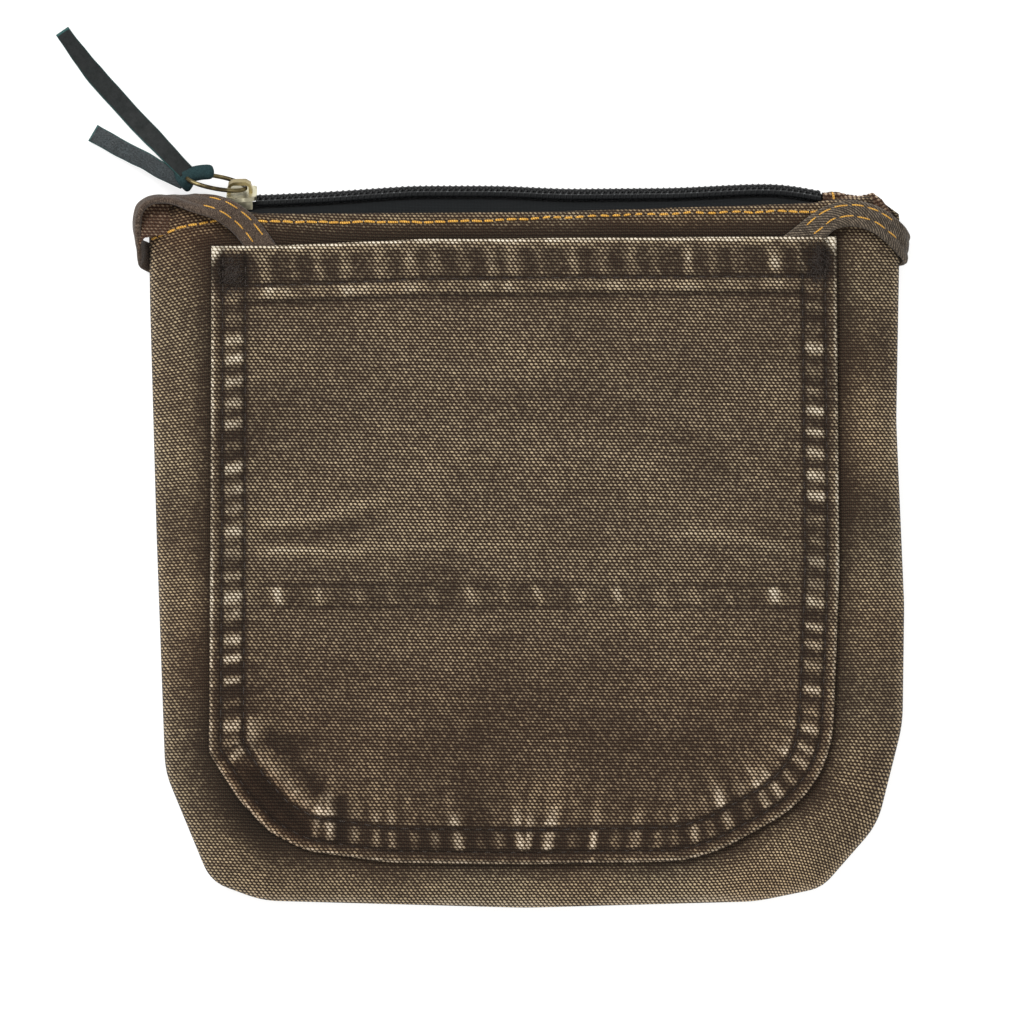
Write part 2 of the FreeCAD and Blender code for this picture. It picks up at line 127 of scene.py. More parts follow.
# Node graphs ----------------------------------------------------------------------------------


# the Mix node keeps a set of sockets for each kind of data; these are its factor and its colours
MIX_INPUTS, MIX_OUTPUT = (0, 6, 7), 2


class Graph:
    """A material's nodes, made by short calls that return sockets."""

    def __init__(self, name):
        self.material = bpy.data.materials.new(name)
        self.material.use_nodes = True
        self.tree = self.material.node_tree
        self.shader = self.tree.nodes["Principled BSDF"]

    def add(self, kind, **settings):
        node = self.tree.nodes.new("ShaderNode" + kind)
        for key, value in settings.items():
            setattr(node, key, value)
        return node

    def plug(self, socket, value):
        if isinstance(value, bpy.types.NodeSocket):
            self.tree.links.new(value, socket)
        else:
            socket.default_value = value

    def sums(self, operation, *values):
        node = self.add("Math", operation=operation)
        for socket, value in zip(node.inputs, values):
            self.plug(socket, value)
        return node.outputs[0]

    times = partialmethod(sums, "MULTIPLY")
    over = partialmethod(sums, "DIVIDE")
    plus = partialmethod(sums, "ADD")
    less = partialmethod(sums, "SUBTRACT")
    scaled = partialmethod(sums, "MULTIPLY_ADD")
    floor = partialmethod(sums, "FLOOR")
    fraction = partialmethod(sums, "FRACT")

    def from_half(self, value):
        return self.sums("ABSOLUTE", self.less(value, 0.5))

    def ramp(self, value, low, high, to_low=0.0, to_high=1.0):
        node = self.add("MapRange", interpolation_type="SMOOTHSTEP")
        for socket, given in zip(node.inputs, (value, low, high, to_low, to_high)):
            self.plug(socket, given)
        return node.outputs[0]

    def mix(self, factor, first, second, blend="MIX"):
        node = self.add("Mix", data_type="RGBA", blend_type=blend)
        for socket, value in zip(MIX_INPUTS, (factor, first, second)):
            self.plug(node.inputs[socket], value)
        return node.outputs[MIX_OUTPUT]

    def dimmed(self, colour, level):
        return self.mix(1.0, colour, self.join(level, level, level), "MULTIPLY")

    def attribute(self, name, output="Fac"):
        return self.add("Attribute", attribute_name=name).outputs[output]

    def split(self, vector):
        node = self.add("SeparateXYZ")
        self.plug(node.inputs[0], vector)
        return node.outputs[0], node.outputs[1], node.outputs[2]

    def join(self, x, y, z=0.0):
        node = self.add("CombineXYZ")
        for socket, value in zip(node.inputs, (x, y, z)):
            self.plug(socket, value)
        return node.outputs[0]

    def noise(self, vector, scale, detail=2.0, rough=0.5):
        node = self.add("TexNoise")
        self.plug(node.inputs["Vector"], vector)
        node.inputs["Scale"].default_value = scale
        node.inputs["Detail"].default_value = detail
        node.inputs["Roughness"].default_value = rough
        return node.outputs["Fac"]

    def cell(self, x, y):
        node = self.add("TexWhiteNoise", noise_dimensions="3D")
        self.plug(node.inputs["Vector"], self.join(x, y))
        return node.outputs["Value"]

    def bump(self, height, strength, distance):
        node = self.add("Bump")
        node.inputs["Strength"].default_value = strength
        node.inputs["Distance"].default_value = distance * MM
        self.plug(node.inputs["Height"], height)
        self.plug(self.shader.inputs["Normal"], node.outputs[0])

    def finish(self, colour, roughness=0.8, **sockets):
        self.plug(self.shader.inputs["Base Color"], colour)
        self.plug(self.shader.inputs["Roughness"], roughness)
        for name, value in sockets.items():
            self.plug(self.shader.inputs[name.replace("_", " ")], value)
        return self.material


def cloth_coordinates(g, sway=0.10):
    """The cloth's own two directions, in millimetres, with threads that wander a little."""
    cloth = g.attribute("cloth", "Vector")
    u, v, _ = g.split(cloth)
    wander = g.less(g.noise(cloth, 0.9, 1.0), 0.5)
    wander_too = g.less(g.noise(g.join(v, u, 7.0), 0.8, 1.0), 0.5)
    u = g.scaled(wander, 4 * sway, u)
    v = g.scaled(wander_too, 3 * sway, v)
    return cloth, u, v


def canvas(name, gap, thread, crown, pale, wash=0.18, pitch=(1.1, 0.785), rough=0.92):
    """Plain weave: pale crowns in a brick pattern over darker threads, with wear that pales them."""
    g = Graph(name)
    cloth, u, v = cloth_coordinates(g)
    row_at = g.over(v, pitch[1])
    row = g.floor(row_at)
    odd = g.sums("FLOORED_MODULO", row, 2.0)
    along = g.scaled(odd, 0.5, g.over(u, pitch[0]))
    column = g.floor(along)
    fu = g.less(g.less(along, column), 0.5)
    fv = g.less(g.less(row_at, row), 0.5)
    chance = g.cell(column, row)
    wear = g.attribute("wear")
    # shade from the mesh: random tone, and on the front panel and pocket painted shade and painted
    # light; it dims or brightens the crowns and the whole cloth
    shade = g.attribute("shade")

    def blob(du, dv, wide, tall):
        across = g.sums("POWER", g.over(du, wide), 2.0)
        down = g.sums("POWER", g.over(dv, tall), 2.0)
        return g.sums("SQRT", g.plus(across, down))

    warm = g.attribute("warm")
    swell = g.scaled(wear, 0.08, g.scaled(chance, 0.05, 0.275))
    slanted = g.scaled(fv, 0.30, fu)
    reach = g.over(blob(slanted, fv, 1.0, 1.15), swell)
    crowns = g.ramp(reach, 1.16, 0.66)
    side = g.less(g.sums("ABSOLUTE", fu), 0.5)
    crossing = g.ramp(blob(side, fv, 0.24, 0.50), 1.15, 0.3)
    streak = g.noise(g.join(g.times(u, 0.05), g.times(row, 3.7)), 1.0, 1.0)
    cloud = g.noise(cloth, 0.035, 1.0, 0.5)
    fuzz = g.noise(cloth, 5.5, 2.0)
    bright = g.scaled(chance, 0.26, 0.28)
    bright = g.scaled(g.less(streak, 0.5), 0.45, bright)
    bright = g.scaled(wear, 0.80, bright)
    bright = g.scaled(g.less(cloud, 0.5), 0.45, bright)
    bright = g.scaled(shade, 0.60, bright)
    lit = g.times(crowns, g.ramp(bright, 0.0, 0.95, 0.10, 1.0))
    base = g.mix(g.times(crossing, 0.85), gap, thread)
    base = g.mix(g.ramp(wear, 0.30, 1.4, 0.0, 0.38), base, crown)
    tone = g.mix(g.ramp(wear, 0.25, 1.0), crown, pale)
    colour = g.mix(lit, base, tone)
    level = g.scaled(g.less(cloud, 0.5), wash, 1.0)
    level = g.scaled(shade, 0.48, level)
    level = g.scaled(g.less(fuzz, 0.5), 0.40, level)
    level = g.sums("MAXIMUM", level, 0.16)
    colour = g.dimmed(colour, level)
    reddened = g.mix(1.0, colour, (1.10, 0.93, 0.83, 1), "MULTIPLY")
    colour = g.mix(warm, colour, reddened)
    height = g.scaled(crossing, 0.5, g.times(crowns, 1.0))
    height = g.scaled(fuzz, 0.25, height)
    g.bump(height, 0.7, 0.2)
    return g.finish(colour, rough, Sheen_Weight=0.03, Sheen_Roughness=0.6, Specular_IOR_Level=0.12)


def twill(name, dark, light, pitch=0.62):
    """Fine diagonal ribs, as on the belt loops."""
    g = Graph(name)
    cloth, u, v = cloth_coordinates(g, 0.06)
    slope = g.over(g.scaled(v, 1.45, u), pitch * 1.7)
    rib = g.fraction(slope)
    ridge = g.ramp(g.from_half(rib), 0.42, 0.12)
    beat = g.fraction(g.over(u, pitch))
    bead = g.ramp(g.from_half(beat), 0.5, 0.1)
    chance = g.cell(g.floor(slope), g.floor(g.over(u, pitch)))
    cloud = g.noise(cloth, 0.12, 2.0)
    fuzz = g.noise(cloth, 6.0, 2.0)
    wear = g.attribute("wear")
    lit = g.times(ridge, g.scaled(chance, 0.7, g.times(bead, 0.4)))
    lit = g.plus(lit, g.times(wear, 0.5))
    colour = g.mix(lit, dark, light)
    level = g.scaled(cloud, 0.5, g.scaled(fuzz, 0.4, 0.55))
    colour = g.dimmed(colour, level)
    height = g.plus(g.times(ridge, bead), g.times(fuzz, 0.4))
    g.bump(height, 0.5, 0.12)
    return g.finish(colour, 0.93, Sheen_Weight=0.12, Sheen_Roughness=0.5, Specular_IOR_Level=0.2)


def fuzzy(name, dark, light):
    """Brushed canvas: short pale fibres lying every way over a dark ground."""
    g = Graph(name)
    cloth, u, v = cloth_coordinates(g, 0.1)
    fibres = g.noise(g.join(g.times(u, 1.6), g.times(v, 3.6)), 1.6, 4.0, 0.75)
    crossed = g.noise(g.join(g.times(v, 1.5), g.times(u, 3.3), 4.0), 1.7, 4.0, 0.75)
    cloud = g.noise(cloth, 0.25, 2.0)
    lit = g.ramp(g.plus(fibres, crossed), 0.86, 1.32)
    colour = g.mix(lit, dark, light)
    level = g.scaled(cloud, 0.6, 0.7)
    colour = g.dimmed(colour, level)
    g.bump(g.plus(fibres, crossed), 0.6, 0.2)
    return g.finish(colour, 0.95, Sheen_Weight=0.15, Sheen_Roughness=0.5, Specular_IOR_Level=0.15)


def tape_cloth(name):
    """Black zip tape: fine ribs along its length."""
    g = Graph(name)
    cloth, u, v = cloth_coordinates(g, 0.03)
    rib = g.fraction(g.over(v, 0.42))
    weft = g.fraction(g.over(u, 0.36))
    bars = g.ramp(g.from_half(rib), 0.5, 0.1)
    dots = g.ramp(g.from_half(weft), 0.5, 0.1)
    fuzz = g.noise(cloth, 4.0, 2.0)
    cloud = g.noise(cloth, 0.2, 2.0)
    lit = g.times(g.times(bars, dots), g.plus(fuzz, 0.3))
    colour = g.mix(lit, (0.0045, 0.005, 0.0055, 1), (0.018, 0.020, 0.021, 1))
    colour = g.mix(g.times(cloud, 0.2), colour, (0.022, 0.024, 0.025, 1))
    g.bump(g.times(bars, dots), 0.4, 0.08)
    return g.finish(colour, 0.9, Sheen_Weight=0.02, Specular_IOR_Level=0.12)


def thread(name, dark, light, shine=0.1):
    """Twisted sewing thread: a slanted ply line along each stitch."""
    g = Graph(name)
    cloth = g.attribute("cloth", "Vector")
    u, v, _ = g.split(cloth)
    ply = g.fraction(g.plus(g.over(u, 0.55), v))
    groove = g.ramp(g.from_half(ply), 0.5, 0.2)
    chance = g.noise(cloth, 0.6, 2.0)
    colour = g.mix(g.times(groove, g.plus(chance, 0.25)), dark, light)
    g.bump(groove, 0.6, 0.1)
    return g.finish(colour, 0.6, Sheen_Weight=shine, Specular_IOR_Level=0.3)


def nylon(name):
    """Black monofilament, with painted glints flecked along its crests."""
    g = Graph(name)
    place = g.add("TexCoord").outputs["Object"]
    # painted highlight: pale glints along the outer crests of the turns, broken up by flecks
    fleck = g.noise(place, 900.0, 2.0)
    crest = g.ramp(g.attribute("crest"), 0.72, 0.98)
    crest = g.times(crest, g.ramp(fleck, 0.30, 0.62))
    colour = g.mix(crest, (0.004, 0.0045, 0.005, 1), (0.25, 0.265, 0.27, 1))
    return g.finish(colour, 0.55, Specular_IOR_Level=0.14)


def antique_brass(name, bright, shine=0.5):
    """Brass darkened all over and rubbed bright where it is proud."""
    g = Graph(name)
    place = g.add("TexCoord").outputs["Object"]
    cloud = g.noise(place, 260.0, 3.0)
    grain = g.noise(place, 2200.0, 2.0)
    rubbed = g.ramp(g.add("NewGeometry").outputs["Pointiness"], 0.5, 0.56)
    amount = g.plus(g.times(rubbed, 0.5), g.times(g.ramp(cloud, 0.40, 0.66), shine))
    colour = g.mix(amount, (0.050, 0.038, 0.018, 1), bright)
    rough = g.ramp(g.scaled(grain, 0.4, cloud), 0.4, 1.0, 0.28, 0.5)
    g.bump(g.scaled(grain, 0.4, cloud), 0.15, 0.1)
    return g.finish(colour, rough, Metallic=0.9)


def leather(name, base, light, edge, grain_scale, gloss, grain_depth):
    """Dyed strip: grain cells on its face, a raw teal edge where the attribute says so."""
    g = Graph(name)
    place = g.attribute("cloth", "Vector")
    cells = g.add("TexVoronoi", feature="SMOOTH_F1")
    g.plug(cells.inputs["Vector"], place)
    cells.inputs["Scale"].default_value = grain_scale
    pebbles = cells.outputs["Distance"]
    cloud = g.noise(place, 0.5, 3.0)
    fine = g.noise(place, 7.0, 2.0)
    edges = g.ramp(g.attribute("edge"), 0.35, 0.9)
    colour = g.mix(g.times(cloud, g.times(pebbles, 1.6)), base, light)
    colour = g.mix(g.times(edges, g.scaled(fine, 0.8, 0.35)), colour, edge)
    g.bump(g.scaled(fine, 0.3, pebbles), grain_depth, 0.12)
    rough = g.ramp(g.plus(g.times(fine, 0.6), cloud), 0.5, 1.1, gloss, gloss + 0.25)
    return g.finish(colour, rough, Specular_IOR_Level=0.22)


PANEL_CANVAS = canvas(
    "panel_canvas",
    (0.020, 0.0125, 0.0082, 1),
    (0.064, 0.040, 0.026, 1),
    (0.49, 0.400, 0.250, 1),
    (0.66, 0.58, 0.45, 1),
    pitch=(1.06, 0.74),
)
POCKET_CANVAS = canvas(
    "pocket_canvas",
    (0.017, 0.0100, 0.0068, 1),
    (0.054, 0.033, 0.021, 1),
    (0.46, 0.375, 0.240, 1),
    (0.84, 0.78, 0.64, 1),
    pitch=(1.09, 0.79),
)
TAB_CANVAS = canvas(
    "tab_canvas",
    (0.030, 0.0145, 0.009, 1),
    (0.095, 0.050, 0.031, 1),
    (0.36, 0.255, 0.165, 1),
    (0.55, 0.43, 0.31, 1),
)
LINING_CLOTH = canvas(
    "lining_cloth",
    (0.03, 0.024, 0.018, 1),
    (0.07, 0.058, 0.045, 1),
    (0.13, 0.11, 0.085, 1),
    (0.2, 0.17, 0.14, 1),
    pitch=(0.5, 0.4),
)
LOOP_TWILL = twill("loop_twill", (0.020, 0.0145, 0.010, 1), (0.190, 0.150, 0.108, 1))
LOOP_FUZZY = fuzzy("loop_fuzzy", (0.026, 0.0165, 0.0115, 1), (0.200, 0.148, 0.110, 1))
TAPE = tape_cloth("zip_tape_black")
GOLD = thread("gold_thread", (0.28, 0.10, 0.008, 1), (0.84, 0.47, 0.070, 1), 0.15)
BROWN = thread("brown_thread", (0.012, 0.008, 0.006, 1), (0.050, 0.037, 0.029, 1), 0.02)
NYLON = nylon("black_nylon")
BRASS = antique_brass("antique_brass", (0.36, 0.29, 0.135, 1))
# the slider's casting: a paler copy of the antique brass, partly rubbed brass and partly painted light
# for its lit side
CASTING_WITH_PAINTED_LIGHT = antique_brass("rubbed_brass_with_painted_light", (0.66, 0.62, 0.44, 1), 0.85)
TEAL_EDGE = (0.03, 0.10, 0.095, 1)
SMOOTH_LEATHER = leather(
    "smooth_leather", (0.0085, 0.0098, 0.0096, 1), (0.016, 0.019, 0.0185, 1), TEAL_EDGE, 1.6, 0.6, 0.12
)
GRAIN_LEATHER = leather(
    "grain_leather", (0.008, 0.010, 0.011, 1), (0.060, 0.074, 0.078, 1), TEAL_EDGE, 2.6, 0.42, 0.7
)
SUEDE = leather(
    "suede", (0.010, 0.024, 0.026, 1), (0.028, 0.060, 0.064, 1), (0.04, 0.11, 0.11, 1), 3.0, 0.85, 0.35
)


# Meshes ---------------------------------------------------------------------------------------


def unit(rows):
    """The same directions, each with a length of one."""
    return rows / np.linalg.norm(rows, axis=1)[:, None]


def step_lengths(line):
    return np.linalg.norm(np.diff(line, axis=0), axis=1)


def run_along(line):
    """How far along a line of points each of them is."""
    return np.concatenate([[0], np.cumsum(step_lengths(line))])


def rings_about(centre, side, top, across, up):
    """Rings of points round a line, from how far each lies in its two side directions."""
    return centre[:, None] + side[:, None] * across[..., None] + top[:, None] * up[..., None]


def piece(name, points, faces, body, material, slot, replaces=(), smooth=True, **attributes):
    """A mesh piece from points in millimetres, riding on a body, with attributes for its material."""
    mesh = bpy.data.meshes.new(name)
    mesh.from_pydata((np.asarray(points) * MM).tolist(), [], [list(map(int, f)) for f in faces])
    if smooth:
        mesh.polygons.foreach_set("use_smooth", [True] * len(mesh.polygons))
    for key, values in attributes.items():
        values = np.asarray(values, float)
        if values.ndim == 2:
            layer = mesh.attributes.new(key, "FLOAT_VECTOR", "POINT")
            layer.data.foreach_set("vector", values.ravel())
        else:
            layer = mesh.attributes.new(key, "FLOAT", "POINT")
            layer.data.foreach_set("value", values)
    mesh.update()
    mesh.materials.append(material)
    obj = bpy.data.objects.new(name, mesh)
    bpy.context.scene.collection.objects.link(obj)
    if body:
        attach(obj, body)
    if replaces:
        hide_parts(*replaces)
    return obj


def grid_faces(rows, columns, round_columns=False, flip=False):
    """Quads over points laid out row by row."""
    faces = []
    last = columns if round_columns else columns - 1
    for i in range(rows - 1):
        for j in range(last):
            k = (j + 1) % columns
            quad = (i * columns + j, i * columns + k, (i + 1) * columns + k, (i + 1) * columns + j)
            faces.append(quad[::-1] if flip else quad)
    return faces


def shifted(faces, by):
    return [tuple(by + k for k in face) for face in faces]


def tube_faces(rings, around):
    """Quads along a tube laid out ring by ring, with a cap at each end."""
    last = (rings - 1) * around
    caps = [tuple(range(around))[::-1], tuple(last + k for k in range(around))]
    return grid_faces(rings, around, True) + caps


# Outlines -------------------------------------------------------------------------------------

BAG_CORNERS = [
    # x, y, radius, down the left side, along the bottom and up the right side
    (-94.6, 92, 0),
    (-94.2, 62, 60),
    (-92.6, 5, 80),
    (-90.4, -56, 22),
    (-79.0, -83.6, 10),
    (-66, -88.4, 25),
    (0, -90.2, 120),
    (58, -88.6, 40),
    (74.6, -85.2, 10),
    (88.6, -69.2, 20),
    (94.9, -44, 35),
    (95.3, -14, 60),
    (93.3, 32, 90),
    (94.4, 92, 0),
]
MOUTH_EDGE = [
    # the top edge of the front panel, from right to left, with both corners
    (93.6, 80, 0),
    (92.2, 84.6, 3),
    (89.3, 87.2, 1),
    (87.0, 88.8, 1),
    (84, 88.0, 3),
    (76, 87.4, 8),
    (72.5, 86.7, 0),
    (53.5, 86.0, 60),
    (8.7, 84.6, 90),
    (-30, 84.2, 90),
    (-67, 84.0, 30),
    (-80, 85.8, 10),
    (-90, 86.4, 6),
    (-94.4, 82.5, 0),
]
POCKET_CORNERS = [
    # down the left side, along the bottom and up the right side
    (-78.4, 75.7, 0),
    (-78.6, 10, 90),
    (-79.0, -51.0, 4),
    (-71.6, -62.6, 25),
    (-64.2, -70.6, 16),
    (-55.0, -75.4, 20),
    (-34, -78.4, 60),
    (0, -78.8, 90),
    (44, -78.0, 42),
    (76.5, -60, 44),
    (78.6, -5, 60),
    (77.8, 78.2, 0),
]
POCKET_MOUTH = [(77.8, 78.2, 0), (30, 77.9, 60), (-25, 77.5, 60), (-60, 75.9, 40), (-78.4, 75.7, 0)]


SAME_PLACE = 1e-9
ARC_POINTS = 15


def rounded(corners, spacing):
    """Points about spacing apart along an open line, with each corner rounded to its radius."""
    points = []
    for i, (x, y, radius) in enumerate(corners):
        at = np.array([x, y], float)
        if not radius or i in (0, len(corners) - 1):
            points.append(at)
            continue
        before = np.array(corners[i - 1][:2]) - at
        after = np.array(corners[i + 1][:2]) - at
        reach_most = 0.48 * min(np.linalg.norm(before), np.linalg.norm(after))
        before, after = before / np.linalg.norm(before), after / np.linalg.norm(after)
        half = math.acos(np.clip(before @ after, -1, 1)) / 2
        reach = min(radius / math.tan(half), reach_most)
        for step in np.linspace(0, 1, ARC_POINTS):
            start, finish = at + before * reach, at + after * reach
            points.append((1 - step) ** 2 * start + 2 * step * (1 - step) * at + step**2 * finish)
    return resampled(points, spacing)


def resampled(points, spacing=None, count=None):
    """The same line with evenly spaced points."""
    points = np.asarray(points, float)
    points = points[np.concatenate([[True], step_lengths(points) > SAME_PLACE])]
    run = run_along(points)
    count = count or max(int(round(run[-1] / spacing)) + 1, 2)
    at = np.linspace(0, run[-1], count)
    return np.stack([np.interp(at, run, points[:, k]) for k in range(points.shape[1])], axis=1)


def nearest(points, line):
    """Distance from each point to a line of points, and how far along it the nearest place is."""
    best = np.full(len(points), np.inf)
    along = np.zeros(len(points))
    steps = np.diff(line, axis=0)
    for start, step, length, before in zip(line, steps, step_lengths(line), run_along(line)):
        t = np.clip((points - start) @ step / length**2, 0, 1)
        away = np.linalg.norm(points - start - t[:, None] * step, axis=1)
        closer = away < best
        best[closer] = away[closer]
        along[closer] = before + t[closer] * length
    return best, along


BAG_SIDES = rounded(BAG_CORNERS, 2.0)
POCKET_SIDES = rounded(POCKET_CORNERS, 1.0)
POCKET_LIP = rounded(POCKET_MOUTH, 1.0)


def ripple(x, y, seed, wave, count=7):
    """Soft seeded unevenness between about -1 and 1, with features about one wave across."""
    rng = np.random.default_rng(seed)
    total = 0
    for _ in range(count):
        turn = rng.uniform(0, 2 * math.pi)
        long = wave * rng.uniform(0.7, 1.7)
        phase = rng.uniform(0, 6.28)
        total = total + np.sin(2 * math.pi * (x * math.cos(turn) + y * math.sin(turn)) / long + phase)
    return total / math.sqrt(count) / 1.4


def hump(value, centre, width):
    return np.exp(-(((value - centre) / width) ** 2))


def spot(x, y, at_x, at_y, size):
    """A round hump about one place."""
    return hump(np.hypot(x - at_x, y - at_y), 0, size)


def rise(value, low, high):
    """0 below one value and 1 above the other, with a smooth step between."""
    t = np.clip((value - low) / (high - low), 0, 1)
    return t * t * (3 - 2 * t)


FRONT_SHOULDER = 13.0
BACK_SHOULDER = 12.0
ABOVE_FLOOR = 0.02


def pillow(distance, shoulder):
    """0 at the seam, rising steeply and then levelling off at the shoulder."""
    t = np.clip(distance / shoulder, 0, 1)
    return (1 - (1 - t) ** 1.9) ** 0.62


def front_height(x, y):
    """Height of the front panel's cloth over the seam plane's own level."""
    x, y = np.asarray(x, float), np.asarray(y, float)
    shape = np.broadcast(x, y).shape
    places = np.stack([np.broadcast_to(at, shape).ravel() for at in (x, y)], axis=1)
    distance, along = nearest(places, BAG_SIDES)
    distance, along = distance.reshape(shape), along.reshape(shape)
    level = SEAM + (FRONT - SEAM) * pillow(distance, FRONT_SHOULDER)
    soft = ripple(x, y, 3, 34) * 0.22 + ripple(x, y, 4, 12) * 0.06
    seam_pull = 0.22 * ripple(along, 0 * along, 5, 9) * np.exp(-distance / 4.0) * rise(distance, 0, 1.5)
    return level + soft * rise(distance, 1, 10) + seam_pull


# Front and back panels --------------------------------------------------------------------------


def disc(outline, offsets, size):
    """Rings of points drawn in from an outline to its middle, quads between them, and a fan there."""
    centre = outline.mean(axis=0)
    rings = [centre + (outline - centre) * (1 - offset / size) for offset in offsets]
    count = len(outline)
    points = np.concatenate(rings + [centre[None]])
    faces = grid_faces(len(rings), count, True)
    hub = len(points) - 1
    base = (len(rings) - 1) * count
    faces += [(base + j, base + (j + 1) % count, hub) for j in range(count)]
    return points, faces


def offsets_to(size, fine, fine_to, coarse):
    near = np.arange(0, fine_to, fine)
    far = np.arange(fine_to, size * 0.985, coarse)
    return np.concatenate([near, far])


def skirted(name, points, skirt, faces, material, slot, node, **attributes):
    """A piece of the pouch whose outline, its first points, is joined to a skirt of points below."""
    count, start = len(skirt), len(points)
    sides = [(j, start + j, start + (j + 1) % count, (j + 1) % count) for j in range(count)]
    padded = {key: np.concatenate([values, values[:count]]) for key, values in attributes.items()}
    piece(
        name, np.concatenate([points, skirt]), faces + sides, "pouch", material, slot, [node], **padded
    )


def closed_outline(parts, count):
    whole = np.concatenate([part[:-1] for part in parts] + [parts[0][:1]])
    return resampled(whole, count=count + 1)[:-1]


def bag_outline(count):
    mouth = rounded(MOUTH_EDGE, 1.0)
    sides = BAG_SIDES[BAG_SIDES[:, 1] < SIDES_END_Y]
    return closed_outline([sides, mouth, np.stack([mouth[-1], sides[0]])], count)


HALF_BAG = 88
SIDES_END_Y = 80
MOUTH_FROM_Y = 78
FOLD_RADIUS = 1.5
FOLD_UNDER = 1.4


def front_panel():
    outline = bag_outline(760)
    points, faces = disc(outline, offsets_to(HALF_BAG, 0.7, 24, 2.2), HALF_BAG)
    x, y = points.T
    z = front_height(x, y)
    edge, _ = nearest(points, rounded(MOUTH_EDGE, 1.0))
    near_mouth = y > MOUTH_FROM_Y
    inside_fold = np.clip(edge / FOLD_RADIUS, 0, 1)
    z = z - FOLD_RADIUS * (1 - np.sqrt(1 - (1 - inside_fold) ** 2)) * near_mouth
    z = z - 3.0 * rise(x, 80, 93) * rise(y, 80, 88) - 2.2 * rise(-x, 84, 94) * rise(y, 78, 86)
    z = z + 0.35 * hump(edge, 1.4, 1.0) * near_mouth - 0.22 * hump(edge, 2.35, 0.5) * near_mouth
    z = np.maximum(z, SEAM - 0.6)
    wear = 0.30 * hump(nearest(points, BAG_SIDES)[0], 0.8, 1.4) + 0.12 * ripple(x, y, 11, 25)
    # shade: random tone and a darker band towards the mouth; painted shade and painted light follow
    shade = 0.09 * ripple(x, y, 12, 55) - 0.12 * rise(y, 80, 87)
    # painted shade in a narrow band round the pocket, and under the pocket's lip
    pocket_gap = np.minimum(nearest(points, POCKET_SIDES)[0], nearest(points, POCKET_LIP)[0])
    shade_under_lip = rise(y, 74, 78) * (1 - rise(y, 79.0 + 0.01 * x, 83.0 + 0.015 * x))
    shade_under_lip = shade_under_lip * (1 - rise(np.abs(x), 72, 80))
    shade = shade - 0.45 * shade_under_lip - 0.55 * np.exp(-pocket_gap / 1.3)
    shade = shade - 0.30 * (1 - rise(pocket_gap, 0, 7))
    # painted shadow below the pocket's cut-off lower left corner
    shadow_below_cut = hump((x + 68.5) * 0.77 + (y + 68.5) * 0.64, -1.0, 7.0)
    shadow_below_cut = shadow_below_cut * hump((x + 68) * 0.64 - (y + 68) * 0.77, 0, 15)
    shade = shade - 0.85 * shadow_below_cut
    # painted light along the bottom, and painted shade at the top left corner beside the strap
    shade = shade + 0.22 * rise(-y, 74, 86) * rise(x, -60, -20) + 0.06 * rise(-y, 40, 75)
    shade = shade - 0.10 * spot(x, y, -88, 83, 9)
    wear = wear + 0.10 * rise(pocket_gap, 2, 9) + 0.14 * rise(-y, 78, 88)
    left_corner = hump(np.hypot(x + 88, (y - 84) * 1.6), 0, 11)
    warm = np.clip(1.3 * left_corner + 0.35 + 0.2 * ripple(x, y, 13, 45), 0, 1.3)
    low_right = rise(x, 45, 92) * rise(-y, 40, 88)
    lean = 0.20 * spot(x, y, -88, 68, 26) + 0.066 * rise(-x, 60, 90)
    u = x + 0.02 * y - 0.35 * low_right * (y + 60)
    v = y - lean * (x + 88) + 0.40 * low_right * (x - 70)
    cloth = np.stack([u, v, z * 0], axis=1)
    # the edge turns down to the seam, and at the mouth folds under
    at_mouth = outline[:, 1] > 79
    level = np.where(at_mouth, z[: len(outline)] - 1.6, SEAM - 0.05)
    inward = unit(outline.mean(axis=0) - outline) * np.where(at_mouth, FOLD_UNDER, 0.15)[:, None]
    skirted(
        "front_panel_cloth", np.column_stack([points, z]), np.column_stack([outline + inward, level]),
        faces, PANEL_CANVAS, "canvas", "front_panel", wear=wear, shade=shade, warm=warm, cloth=cloth,
    )


def back_panel():
    top = [(94.0, 84, 0), (88, 88.6, 6), (60, 89.0, 40), (-60, 87.2, 40), (-88, 86.8, 6), (-94.0, 82, 0)]
    sides = BAG_SIDES[BAG_SIDES[:, 1] < SIDES_END_Y]
    edge = rounded(top, 1.0)
    outline = closed_outline([sides, edge, np.stack([edge[-1], sides[0]])], 560)
    points, faces = disc(outline, offsets_to(HALF_BAG, 0.9, 18, 2.6), HALF_BAG)
    x, y = points.T
    distance, _ = nearest(points, BAG_SIDES)
    at_mouth, _ = nearest(points, edge)
    z = SEAM * (1 - pillow(distance, BACK_SHOULDER))
    z = z + 0.12 * (1 + ripple(x, y, 21, 26)) * rise(distance, 1, 8) * (1 - 0.4 * rise(distance, 20, 60))
    z = z + 1.3 * np.exp(-at_mouth / 2.2) * (y > 70)
    z = np.maximum(z, ABOVE_FLOOR)
    wear = 0.30 * hump(distance, 0.8, 1.4) + 0.10 * ripple(x, y, 22, 25)
    shade = 0.25 * ripple(x, y, 23, 60)
    cloth = np.stack([x, y, 0 * x], axis=1)
    faces = [f[::-1] for f in faces]
    piece(
        "back_panel_cloth", np.column_stack([points, z]), faces, "pouch", PANEL_CANVAS, "canvas",
        ["back_panel"], wear=wear, shade=shade, cloth=cloth,
    )


def lining(name, height_at, node):
    """One sheet of lining, a little smaller than the bag."""
    outline = bag_outline(300) * np.array([0.955, 0.955]) + np.array([0, -1.5])
    points, faces = disc(outline, offsets_to(80, 2.0, 12, 5.0), 80)
    x, y = points.T
    z = height_at(x, y)
    cloth = np.stack([x, y, 0 * x], axis=1)
    piece(
        name, np.column_stack([points, z]), faces, "pouch", LINING_CLOTH, "lining", [node],
        wear=0 * x, shade=0.3 * ripple(x, y, 31, 40), cloth=cloth,
    )


